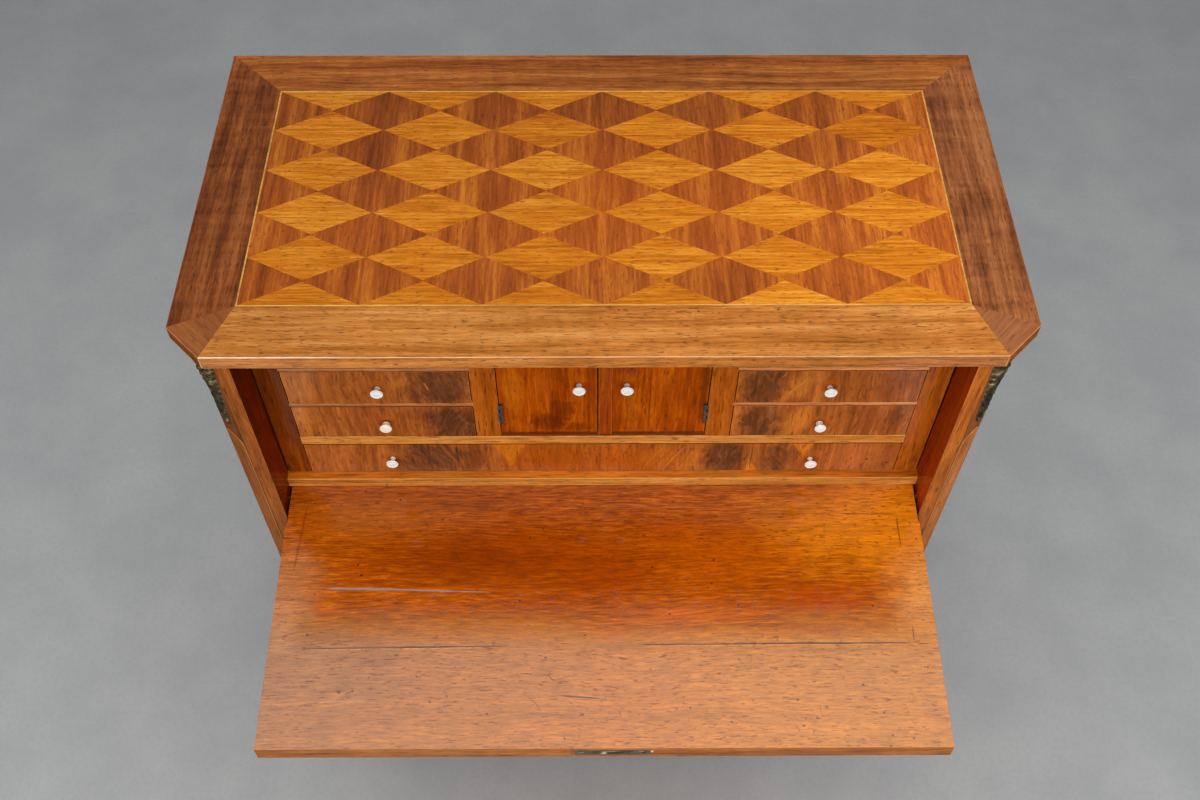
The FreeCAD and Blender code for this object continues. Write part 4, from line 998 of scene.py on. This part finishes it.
# Cut-corner veneers, their grain turned each way; the left one is darker, as painted shade.
corner_l = wood("corner_left", (94, 48, 20), (138, 78, 38), (170, 106, 58), axis=0, seed=31, turn=math.radians(45),
                fine=(16, 330), broad=(2.5, 60), weights=(0.3, 0.35), pores=0.4, pore_size=(60, 520), mottle=0.08)
corner_r = wood("corner_right", (112, 62, 32), (161, 97, 57), (190, 124, 78), axis=0, seed=32, turn=math.radians(-45),
                fine=(16, 330), broad=(2.5, 60), weights=(0.3, 0.35), pores=0.4, pore_size=(60, 520), mottle=0.08)
top = finish_piece("top_panel", bm, "top_board",
                   [M["border_front"], M["border_back"], M["border_side"], M["border_side_b"], corner_l, corner_r,
                    M["carcase_x"], M["front_edge"], M["front_arris"], M["cut_edge"]], extra=("top_border_veneer",))

# lozenges
fx = bx - 1.5
fy0, fy1 = by0 + 1.5, by1 - 1.5
NX, NY, GX, GY = 6, 5, 0.6, 0.7
lx, ly = 2 * fx / NX, (fy1 - fy0) / NY


def clip(points, x0, x1, y0, y1):
    for k, limit, sign in ((0, x0, 1), (0, x1, -1), (1, y0, 1), (1, y1, -1)):
        out = []
        for i, p in enumerate(points):
            q = points[(i + 1) % len(points)]
            inside_p, inside_q = (p[k] - limit) * sign >= -1e-9, (q[k] - limit) * sign >= -1e-9
            if inside_p:
                out.append(p)
            if inside_p != inside_q:
                t = (limit - p[k]) / (q[k] - p[k])
                out.append((p[0] + (q[0] - p[0]) * t, p[1] + (q[1] - p[1]) * t))
        points = out
    clean = []
    for p in points:
        if not clean or math.dist(p, clean[-1]) > 1e-5:
            clean.append(p)
    if math.dist(clean[0], clean[-1]) < 1e-5:
        clean.pop()
    return clean


rng = random.Random(11)


def veneers(name, node, rings, mat, spread):
    bm = bmesh.new()
    tone = bm.faces.layers.float.new("tone")
    shift = bm.faces.layers.float_vector.new("shift")
    for ring in rings:
        t = rng.gauss(0.0, spread)
        v = Vector((rng.uniform(-3, 3), rng.uniform(-3, 3), rng.uniform(-3, 3)))
        for f in prism(bm, ring, -VENEER, 0.0):
            f[tone] = t
            f[shift] = v
    return finish_piece(name, bm, node, [mat], flat=True)


light, dark = [], []
for j in range(NY + 1):
    for i in range(NX):
        cx, cy = -fx + (i + 0.5) * lx, fy0 + j * ly
        a, b = lx / 2 - GX, ly / 2 - GY
        light.append(clip([(cx - a, cy), (cx, cy - b), (cx + a, cy), (cx, cy + b)], -fx, fx, fy0, fy1))
for j in range(NY):
    for i in range(NX + 1):
        cx, cy = -fx + i * lx, fy0 + (j + 0.5) * ly
        a, b = lx / 2, ly / 2
        ring = [(cx - a, cy - GY), (cx - GX, cy - b), (cx + GX, cy - b), (cx + a, cy - GY),
                (cx + a, cy + GY), (cx + GX, cy + b), (cx - GX, cy + b), (cx - a, cy + GY)]
        dark.append(clip(ring, -fx, fx, fy0, fy1))
veneers("parquetry_light", "top_lozenges_light", light, M["light_veneer"], 0.06)
veneers("parquetry_dark", "top_lozenges_dark", dark, M["dark_veneer"], 0.04)

# ================================================================ case
R2 = math.sqrt(0.5)


def post_face(f):
    n = f.normal
    if n.y < -0.9:
        return 0
    if n.y < -0.5 and abs(n.x) > 0.5:
        return 2
    c = f.calc_center_median()
    if n.x * c.x < 0 and abs(n.x) > 0.9:
        return 1
    return 0


# The inner faces of the front posts take case_inner, whose deep red is painted shade.
soften("front_posts", 0.9, [M["case_wood"], M["case_inner"], M["case_cant"]], pick=post_face)
soften("rear_posts", 0.9, [M["case_side"]])
soften("side_panels", 0.5, [M["case_side"]])
soften("back_panel", 0.5, [M["back_boards"]])
soften("base_board", 0.8, [M["carcase_x"], M["rail_wood"]], pick=lambda f: 1 if f.normal.y < -0.9 else 0)
soften("case_rails", 0.7, [M["rail_wood"]])
soften("interior_floor", 0.8, [M["ledge"], M["ledge_front"]], pick=lambda f: 1 if f.normal.y < -0.9 else 0)
soften("interior_top", 0.4, [M["interior_x"]])


def upright_corner(e):
    return all(abs(abs(v.co.x) - 0.3462) < 2e-4 and abs(v.co.y - depth(56.0)) < 2e-4 for v in e.verts)


# The left upright takes stile_left, a darker painted-shade copy; a 1.5 mm chamfer on each front outer corner takes the
# gap colour, a painted shadow line.
soften("interior_side_uprights", 0.3, [M["interior_up"], M["gap"], M["stile_left"]],
       pick=lambda f: 2 if f.calc_center_median().x < 0 else 0, first=(upright_corner, 1.5, 1))
soften("interior_partitions", 0.4, [M["interior_up"]])
soften("interior_shelf", 0.6, [M["interior_x"]])
soften("interior_thin_shelves", 0.5, [M["thin_shelf"]])
soften("cant_strips", 0.5, [M["strip_wood"]])

# ================================================================ fall
JOINT = 0.3200


def not_joint(e):
    return not all(abs(abs(v.co.x) - JOINT) < 1e-4 for v in e.verts)


def fall_face(f):
    return 1 if f.normal.y < -0.8 else 3 if f.normal.z < -0.8 else 0


soften("fall_panel", 1.1, [M["fall_wood"], M["fall_edge"], M["gap"], M["fall_outside"]], pick=fall_face, edges=not_joint, segments=3)


def beside_post(e):
    """The upper outer arris of a cleat, where it lies between the posts."""
    a, b = e.verts[0].co, e.verts[1].co
    return (min(abs(a.x), abs(b.x)) > 0.3440 and abs(a.y - b.y) > 0.01 and min(a.y, b.y) > depth(1.5)
            and min(a.z, b.z) > (HEIGHT - 297) / 1000)


def not_eased(e):
    return not_joint(e) and not any(f.material_index == 2 for f in e.link_faces)


# The upper outer arris of each cleat beside a post gets a 1.4 mm chamfer in the gap colour, a painted shadow line.
soften("fall_cleats", 1.1, [M["fall_wood"], M["fall_edge"], M["gap"], M["fall_outside"]], pick=fall_face, edges=not_eased, segments=3,
       first=(beside_post, 1.4, 2), cut=(P(0, 2, 0), Vector((0, 1, 0))))

PIVOT_Y, PIVOT_Z, TILT = 37.1, -301.4, math.radians(3.64)
FALL_TOP, FALL_T, FALL_FRONT_Y, LEAN, LOCK_X = PIVOT_Z + 8.0, 19.6, PIVOT_Y - (292.4 - 9.63), 2.2, 8.0


def sloped(x, y, z):
    """A point of the fall, drawn level, at its open slope."""
    dy, dz = y - PIVOT_Y, z - PIVOT_Z
    return P(x, PIVOT_Y + dy * math.cos(TILT) - dz * math.sin(TILT), PIVOT_Z + dy * math.sin(TILT) + dz * math.cos(TILT))


# screws of the lock plate: a head in two halves with the slot between them
bm = bmesh.new()
plate_z = FALL_TOP - FALL_T / 2
plate_y = FALL_FRONT_Y - LEAN / 2
up = (sloped(0, plate_y + LEAN / FALL_T, plate_z + 1) - sloped(0, plate_y, plate_z)).normalized()
out = Vector((1, 0, 0)).cross(up)
if out.y > 0:
    out = -out
for sx, turned_by in ((LOCK_X - 31.5, 0.5), (LOCK_X + 31.5, -0.9)):
    at = sloped(sx, plate_y, plate_z)
    across = Vector((math.cos(turned_by), 0, 0)) + up * math.sin(turned_by)
    along = Vector((-math.sin(turned_by), 0, 0)) + up * math.cos(turned_by)
    for side in (-1, 1):
        rings = []
        for r, h in ((2.7, -0.25), (2.7, 0.08), (2.45, 0.22), (1.5, 0.36)):
            ring = []
            for k in range(15):
                a = math.pi * k / 14
                p, q = r * math.cos(a), max(0.0, r * math.sin(a) - 0.28) + 0.28
                ring.append(bm.verts.new(at + (across * p + along * (q * side) + out * h) / 1000))
            rings.append(ring)
        bm.faces.new(rings[0])
        bm.faces.new(rings[-1])
        for a, b in zip(rings, rings[1:]):
            for k in range(15):
                j = (k + 1) % 15
                bm.faces.new([a[k], a[j], b[j], b[k]])
finish_piece("fall_lock_screws", bm, "fall_lock", [M["lock_metal"]], stands_for=False)

# ================================================================ doors and drawers
def front_face(f):
    return 0 if f.normal.y < -0.5 else 2 if f.normal.y > 0.5 else 1


DOOR_EDGES = [M["door_rim"], M["door_back"]]
soften("left_door", 0.5, [M["door_l"]] + DOOR_EDGES, pick=front_face)
soften("right_door", 0.5, [M["door_r"]] + DOOR_EDGES, pick=front_face)
soften("right_door_strip", 0.9, [M["door_strip"]], segments=3)
for k, n in enumerate(("upper_left", "lower_left", "upper_right", "lower_right", "long")):
    soften(n + "_drawer_front", 0.5, [figured(n, 41 + k), M["drawer_rim"], M["drawer_back"]], pick=front_face)
for n in ("top", "middle", "bottom"):
    soften(n + "_drawer_front", 0.8, [M["low_drawer"], M["low_drawer"], M["drawer_back"]], pick=front_face)


def drawer_box(node, x0, x1, z0, z1, y, gap, front, side, back, bottom, y_end, low):
    """Sides, back and bottom of a drawer, with a hair seam where two boards meet."""
    bx0, bx1 = x0 + gap + 0.4, x1 - gap - 0.4
    z0, top, y = z0 + gap * 0.7, z1 - gap - low, y + front
    seam = 0.1
    bm = bmesh.new()
    block(bm, bx0, bx0 + side, y, y_end, z0, top, 0)
    block(bm, bx1 - side, bx1, y, y_end, z0, top, 0)
    block(bm, bx0 + side + seam, bx1 - side - seam, y_end - back, y_end, z0, top, 1)
    block(bm, bx0 + side + seam, bx1 - side - seam, y + seam, y_end - back - seam, z0, z0 + bottom, 2)
    round_edges(bm, 0.0004 if side < 8 else 0.0007)
    finish_piece(node + "_boards", bm, node, [M["drawer_box"], M["drawer_back"], M["drawer_bottom"]])


UPPER, LOWER = (-149.7, -95.0), (-209.3, -154.2)
for n, x0, x1, (z0, z1) in (("upper_left", -320.2, -133.0, UPPER), ("lower_left", -320.2, -133.0, LOWER),
                            ("upper_right", 133.0, 320.2, UPPER), ("lower_right", 133.0, 320.2, LOWER),
                            ("long", -320.2, 320.2, (-277.4, -223.5))):
    drawer_box(n + "_drawer_box", x0, x1, z0, z1, 56.0, 0.9, 12.0, 6.0, 6.0, 4.0, 380.0, 4.0)
BASE_TOP, RAIL = 138.0 - HEIGHT, 18.0
BAY = (-323.5 - RAIL - BASE_TOP - 2 * RAIL) / 3
for k, n in enumerate(("bottom", "middle", "top")):
    level = BASE_TOP + k * (BAY + RAIL)
    drawer_box(n + "_drawer_box", -346.2, 346.2, level, level + BAY, 25.5, 1.5, 20.0, 10.0, 10.0, 6.0, 385.0, 14.0)

# white turned knobs: a thin dished disc on a waisted neck; two of the lower ones are fuller
DISC = [(1.95, -7.5), (1.95, 0.0), (2.9, 0.0), (3.0, 0.8), (2.4, 1.6), (2.15, 3.2), (2.35, 5.0), (3.0, 6.3), (5.2, 7.0),
        (6.4, 7.6), (6.5, 8.0), (6.2, 8.6), (5.5, 8.7), (4.6, 8.35), (3.2, 8.4), (2.2, 8.75), (1.0, 8.85), (0.0, 8.9)]
FULL = [(1.95, -7.5), (1.95, 0.0), (3.3, 0.0), (4.1, 1.0), (4.2, 2.2), (3.5, 3.5), (2.8, 4.4), (3.3, 5.2), (5.3, 5.9),
        (6.3, 6.8), (6.4, 7.4), (5.9, 8.2), (4.6, 8.8), (2.4, 9.1), (0.0, 9.2)]
RINGED = [(1.95, -7.5), (1.95, 0.0), (3.6, 0.0), (3.8, 0.7), (3.3, 1.4), (3.1, 1.9), (3.6, 2.5), (3.6, 3.3), (2.9, 4.0),
          (2.7, 4.7), (3.4, 5.5), (5.0, 6.2), (6.0, 7.0), (6.1, 7.6), (5.6, 8.3), (4.4, 8.8), (2.2, 9.1), (0.0, 9.2)]


def white_knob(node, places, mat, profile, tilt=(0.0, 0.0)):
    bm = bmesh.new()
    for x, y, z in places:
        lathe(bm, smooth_profile(profile, 4, sharp=(1, 2)), P(x, y, z), Vector((tilt[0], -1.0, tilt[1])), 48)
    finish_piece(node + "_turned", bm, node, [mat])


white_knob("upper_left_drawer_knob", [(-226.3, 56.0, -122.35)], M["white_knob"], DISC, (0.0, 0.04))
white_knob("lower_left_drawer_knob", [(-225.4, 54.8, -182.75)], M["ivory_knob"], FULL, (0.03, 0.10))
white_knob("upper_right_drawer_knob", [(227.0, 56.0, -122.35)], M["white_knob"], DISC, (0.02, 0.04))
white_knob("lower_right_drawer_knob", [(225.2, 54.8, -184.25)], M["white_knob"], RINGED, (0.02, 0.08))
white_knob("long_drawer_knobs", [(-227.4, 56.0, -250.45), (224.8, 55.0, -252.25)], M["white_knob"], DISC, (0.0, 0.03))
white_knob("left_door_knob", [(-24.4, 59.0, -122.5)], M["white_knob"], DISC, (0.0, 0.05))
white_knob("right_door_knob", [(23.8, 59.0, -122.5)], M["white_knob"], DISC, (-0.02, 0.05))

# ================================================================ bronze corner mounts
CANT_MID = (372.0, 25.2)
MOUNT = [(15.9, 15.5, 8.0), (28.0, 16.0, 9.6), (38.0, 15.2, 9.2), (50.0, 13.2, 8.3), (80.0, 10.4, 6.2), (108.0, 7.2, 5.7),
         (128.0, 4.6, 5.2), (137.3, 1.6, 3.0)]


def on_cant(u, w, z, side):
    return P(side * (CANT_MID[0] + (u + w) * R2), CANT_MID[1] + (u - w) * R2, z)


def mount_size(d):
    for (d0, w0, o0), (d1, w1, o1) in zip(MOUNT, MOUNT[1:]):
        if d <= d1:
            t = (d - d0) / (d1 - d0)
            return w0 + (w1 - w0) * t, o0 + (o1 - o0) * t
    return MOUNT[-1][1:]


def husk(t, s):
    """A bell flower: narrow at its calyx, three petals that open downwards and turn out."""
    wide = 0.70 + 0.30 * math.sin(math.pi * min(1.0, 0.12 + t * 0.8)) ** 0.8
    petals = 0.62 + 0.38 * abs(math.cos(1.5 * math.pi * s)) ** 0.5
    rise = 0.50 + 0.50 * (t ** 0.8)
    return wide, rise * petals if t < 0.93 else 0.5 * petals


def mount_relief(d, s):
    """Outline and height factors of the casting at a depth below the top (mm) and a place across it (-1..1)."""
    a = abs(s)
    if d < 37.0:                                        # rolled leaf tip under the top
        t = (d - 27.0) / 11.0
        roll = math.sqrt(max(0.0, 1.0 - t * t))
        veins = 1.0 - 0.20 * abs(math.sin(4.5 * math.pi * s)) ** 3
        return 0.88 + 0.12 * roll, (0.50 + 0.50 * roll) * veins
    if d < 82.0:                                        # acanthus leaf
        t = (d - 37.0) / 45.0
        phase = (d - 37.0) / 9.0 - a * 1.1
        lobe = abs(math.sin(math.pi * phase)) ** 0.55
        edge = abs(math.sin(math.pi * ((d - 37.0) / 9.0 - 1.1))) ** 0.5
        high = 0.46 + 0.54 * lobe * (0.55 + 0.45 * math.sin(math.pi * min(1.0, 0.25 + t * 0.75)))
        rib = math.exp(-(s / 0.13) ** 2)
        valley = math.exp(-((a - 0.24) / 0.09) ** 2)
        high = max(high * (1.0 - 0.40 * valley), 0.97 * rib)
        high *= min(1.0, 0.45 + (d - 37.0) / 6.0)
        return 0.80 + 0.20 * edge, high
    if d < 103.0:                                       # two husks
        return husk((d - 82.0) / 10.5 % 1.0, s)
    if d < 118.0:                                       # six-petalled flower
        w, _ = mount_size(d)
        x, y = s * w * 0.98, d - 110.5
        r, angle = math.hypot(x, y) / 7.2, math.atan2(y, x)
        petal = 0.70 + 0.30 * abs(math.cos(3.0 * angle)) ** 0.6
        dome = 0.42 + 0.58 * max(0.0, 1.0 - ((r - 0.58) / 0.46) ** 2) * petal
        boss = math.sqrt(max(0.0, 1.0 - (r / 0.30) ** 2))
        return 0.90 + 0.10 * abs(math.cos(math.pi * y / 7.5)), max(dome, 0.6 + 0.4 * boss if r < 0.3 else 0.0)
    if d < 128.0:
        return husk((d - 118.0) / 10.0, s)
    t = (d - 132.6) / 4.9                               # pendant berry
    ball = math.sqrt(max(0.0, 1.0 - t * t))
    return 0.66 + 0.34 * ball, 0.5 + 0.5 * ball


def corner_mount(bm, side, seed):
    rnd = random.Random(seed)
    rows, ROWS, STEPS = [], 270, 44
    for i in range(ROWS + 1):
        d = 15.9 + (137.3 - 15.9) * i / ROWS
        wide, stand = mount_size(d)
        row = []
        for k in range(STEPS + 1):
            s = -1.0 + 2.0 * k / STEPS
            outline, high = mount_relief(d, s)
            dome = max(0.0, 1.0 - abs(s) ** 2.6) ** 0.62
            w = 0.7 + (stand - 1.0) * dome * high + rnd.uniform(-0.05, 0.05)
            row.append(bm.verts.new(on_cant(s * wide * outline * 0.985, w, -d, side)))
        outline, _ = mount_relief(d, 1.0)
        u = wide * outline * 0.985
        rows.append([bm.verts.new(on_cant(-u, 0.0, -d, side))] + row + [bm.verts.new(on_cant(u, 0.0, -d, side))])
    n = STEPS + 3
    for a, b in zip(rows, rows[1:]):
        for k in range(n):
            j = (k + 1) % n
            bm.faces.new([a[k], a[j], b[j], b[k]])
    bm.faces.new(rows[0])
    bm.faces.new(rows[-1])


bm = bmesh.new()
corner_mount(bm, -1, 3)
corner_mount(bm, 1, 4)
finish_piece("corner_mounts_cast", bm, "corner_mounts", [M["bronze"]])

# ================================================================ brass knobs of the long drawers
BRASS = [(3.0, -3.0), (3.0, 2.9), (8.0, 2.9), (8.2, 3.6), (8.0, 4.6), (6.6, 5.4), (5.7, 7.2), (5.4, 10.4), (6.0, 13.0),
         (7.4, 14.4), (7.6, 15.0), (9.6, 15.6), (12.2, 17.4), (13.5, 20.0), (13.7, 22.0), (13.0, 24.6), (11.2, 26.8),
         (9.2, 27.9), (8.9, 27.6), (8.4, 28.2), (5.4, 29.2), (2.2, 29.6), (0.0, 29.6)]


def rosette_height(r, a):
    if r > 16.8:
        bead = max(0.0, 1.0 - ((r - 18.7) / 1.75) ** 2) ** 0.5
        return 1.0 + 1.15 * bead * (0.25 + 0.75 * abs(math.cos(17 * a)) ** 0.5)
    if r > 12.5:
        t = (16.8 - r) / 4.3
        return 1.0 + 2.1 * t * t * (3 - 2 * t)
    return 3.1 - (0.25 if 9.6 < r < 10.6 else 0.0)


def rosette(bm, x, z):
    """Stamped round plate with a beaded rim."""
    N = 170
    axis, side, upv = Vector((0, -1, 0)), Vector((1, 0, 0)), Vector((0, 0, 1))
    at = P(x, 25.5, z)
    rings = [[bm.verts.new(at + (side * math.cos(2 * math.pi * k / N) + upv * math.sin(2 * math.pi * k / N)) * 0.021) for k in range(N)]]
    radii = [21.0, 20.6, 20.2, 19.7, 19.2, 18.7, 18.2, 17.7, 17.2, 16.8, 16.0, 15.0, 14.0, 13.2, 12.5, 11.4, 10.6, 10.4, 9.8, 9.6, 8.6, 5.0]
    for r in radii:
        ring = []
        for k in range(N):
            a = 2 * math.pi * k / N
            ring.append(bm.verts.new(at + (side * math.cos(a) + upv * math.sin(a)) * (r / 1000) + axis * (rosette_height(r, a) / 1000)))
        rings.append(ring)
    for a, b in zip(rings, rings[1:]):
        for k in range(N):
            j = (k + 1) % N
            bm.faces.new([a[k], a[j], b[j], b[k]])
    bm.faces.new(rings[0])
    bm.faces.new(rings[-1])


for k, n in enumerate(("bottom", "middle", "top")):
    z = BASE_TOP + k * (BAY + RAIL) + BAY / 2
    bm = bmesh.new()
    for x in (-215.0, 215.0):
        rosette(bm, x, z)
        lathe(bm, smooth_profile(BRASS, 3, sharp=(1, 2)), P(x, 25.5, z), (0, -1, 0), 56)
    finish_piece(n + "_drawer_knobs_turned", bm, n + "_drawer_knobs", [M["brass"]])

# ================================================================ butt hinges of the doors
AXIS_X, AXIS_Y, LEAF_X, LEAF, SIDE_GAP, TALL = 104.7, 56.2, 107.5, 1.0, 0.8, 30.0
KNUCKLE = 1.75


def knuckle(bm, side, z0, z1):
    """One barrel of a hinge, its ends slightly eased, bored for the pin."""
    r, h = KNUCKLE, z1 - z0
    outline = [(1.26, 0.0), (r - 0.25, 0.0), (r, 0.25), (r, h - 0.25), (r - 0.25, h), (1.26, h), (1.26, 0.0)]
    lathe(bm, outline, P(side * AXIS_X, AXIS_Y, z0), (0, 0, 1), 28)


def tongue(bm, side, x0, x1, y0, y1, z0, z1):
    x0, x1 = sorted((side * x0, side * x1))
    block(bm, x0, x1, y0, y1, z0, z1)


case_bm = bmesh.new()
for side, node in ((-1, "left_door_hinge_leaves"), (1, "right_door_hinge_leaves")):
    door_bm = bmesh.new()
    for z in (-184.5, -82.2):
        tongue(case_bm, side, LEAF_X, LEAF_X + LEAF, 56.0, 70.0, z, z + TALL)
        tongue(door_bm, side, LEAF_X - SIDE_GAP - LEAF, LEAF_X - SIDE_GAP, 59.0, 70.0, z, z + TALL)
        for k in range(5):
            z0, z1 = z + k * TALL / 5, z + (k + 1) * TALL / 5
            if k % 2 == 0:
                knuckle(case_bm, side, z0, z1)
                tongue(case_bm, side, AXIS_X + 1.3, LEAF_X - 0.02, 56.05, 57.1, z0 + 0.05, z1 - 0.05)
            else:
                knuckle(door_bm, side, z0 + 0.15, z1 - 0.15)
                tongue(door_bm, side, AXIS_X + 1.3, LEAF_X - SIDE_GAP - 0.05, 56.4, 58.95, z0 + 0.2, z1 - 0.2)
        pin = [(0.0, -0.4), (1.2, -0.4), (1.2, TALL + 0.02), (1.65, TALL + 0.05), (1.7, TALL + 0.6), (1.1, TALL + 1.2), (0.0, TALL + 1.35)]
        lathe(case_bm, pin, P(side * AXIS_X, AXIS_Y, z), (0, 0, 1), 28)
    finish_piece(node + "_fitted", door_bm, node, [M["hinge"]])
finish_piece("door_hinge_case_fitted", case_bm, "door_hinge_case_leaves", [M["hinge"]])

# ================================================================ nodes that keep their shape
PLAIN = {
    "top_stringing": "stringing", "drawer_runners": "carcase_y", "fall_pivot_sockets": "brass",
    "lock_keep": "lock_metal", "fall_pivot_arms": "steel", "fall_lock": "lock_metal", "fall_escutcheon": "brass",
    "fall_lock_bolt": "bolt_metal",
}
for n, m in PLAIN.items():
    me = NODES[n].data
    me.materials.clear()
    me.materials.append(M[m])
# any other node still without a material gets carcase_x
for n in NODES:
    if n not in PLAIN and not NODES[n].data.materials:
        NODES[n].data.materials.append(M["carcase_x"])

# ================================================================ floor, light, camera
floor_mat = Shader("floor")
n1 = floor_mat.noise(floor_mat.p, detail=6.0, rough=0.65, scale=5.0)
n2 = floor_mat.noise(floor_mat.p, detail=3.0, rough=0.6, scale=140.0)
c = floor_mat.mix(floor_mat.remap(n1, 0.3, 0.7), lin((176, 178, 180)), lin((188, 190, 191)))
c = floor_mat.mix(floor_mat.remap(n2, 0.4, 0.75, 0.0, 0.25), c, lin((160, 162, 164)))
floor_mat.set(Base_Color=c, Roughness=floor_mat.remap(n2, 0.3, 0.7, 0.55, 0.75, "LINEAR"))
floor_mat.bump(n2, 0.05, 0.0005)
bm = bmesh.new()
bmesh.ops.create_grid(bm, x_segments=8, y_segments=8, size=7.0)
me = bpy.data.meshes.new("floor")
bm.to_mesh(me)
bm.free()
floor = bpy.data.objects.new("floor", me)
me.materials.append(floor_mat.mat)
bpy.context.scene.collection.objects.link(floor)


def softbox(name, at, look, size, radiance, colour=(1.0, 1.0, 1.0)):
    lamp = bpy.data.lights.new(name, "AREA")
    lamp.shape, lamp.size, lamp.size_y = "RECTANGLE", size[0], size[1]
    lamp.energy = radiance * math.pi * size[0] * size[1]
    lamp.color = colour
    ob = bpy.data.objects.new(name, lamp)
    ob.location = at
    ob.rotation_euler = (Vector(look) - Vector(at)).to_track_quat("-Z", "Y").to_euler()
    bpy.context.scene.collection.objects.link(ob)
    return ob


softbox("overhead", (0.0, -0.59, 3.0), (0.0, -0.59, 0.0), (2.6, 2.2), 2.95, (1.0, 0.985, 0.96))
softbox("front", (0.0, -3.1, 1.9), (0.0, 0.0, 0.75), (3.4, 2.2), 2.9, (1.0, 0.99, 0.97))
softbox("left_fill", (-3.2, 0.0, 1.4), (0.0, 0.0, 0.6), (2.2, 1.6), 0.8)
softbox("right_fill", (3.2, 0.0, 1.4), (0.0, 0.0, 0.6), (2.2, 1.6), 0.8)
softbox("back_fill", (0.0, 3.4, 0.8), (0.0, 0.0, 0.5), (3.0, 1.1), 1.0)

world = bpy.data.worlds.new("studio")
bpy.context.scene.world = world
world.use_nodes = True
world.node_tree.nodes["Background"].inputs[0].default_value = (0.80, 0.83, 0.87, 1.0)
world.node_tree.nodes["Background"].inputs[1].default_value = 0.14

scene = bpy.context.scene
scene.view_settings.view_transform = "Standard"
scene.view_settings.look = "None"
scene.view_settings.exposure = 0.0
scene.view_settings.gamma = 1.0

pitch, yaw, roll = math.radians(54.301), math.radians(0.503), math.radians(-0.253)
f = Vector((math.sin(yaw) * math.cos(pitch), math.cos(yaw) * math.cos(pitch), -math.sin(pitch)))
r = Vector((math.cos(yaw), -math.sin(yaw), 0.0))
d = f.cross(r)
r2 = r * math.cos(roll) + d * math.sin(roll)
d2 = d * math.cos(roll) - r * math.sin(roll)
cam = bpy.data.cameras.new("camera")
cam.sensor_fit, cam.sensor_width, cam.lens = "HORIZONTAL", 36.0, 37.6314
cam.clip_start, cam.clip_end = 0.05, 60.0
camera = bpy.data.objects.new("camera", cam)
turn = Matrix((r2, -d2, -f)).transposed().to_4x4()
camera.matrix_world = Matrix.Translation(P(-9.97, -687.098, 890.416)) @ turn
scene.collection.objects.link(camera)
scene.camera = camera
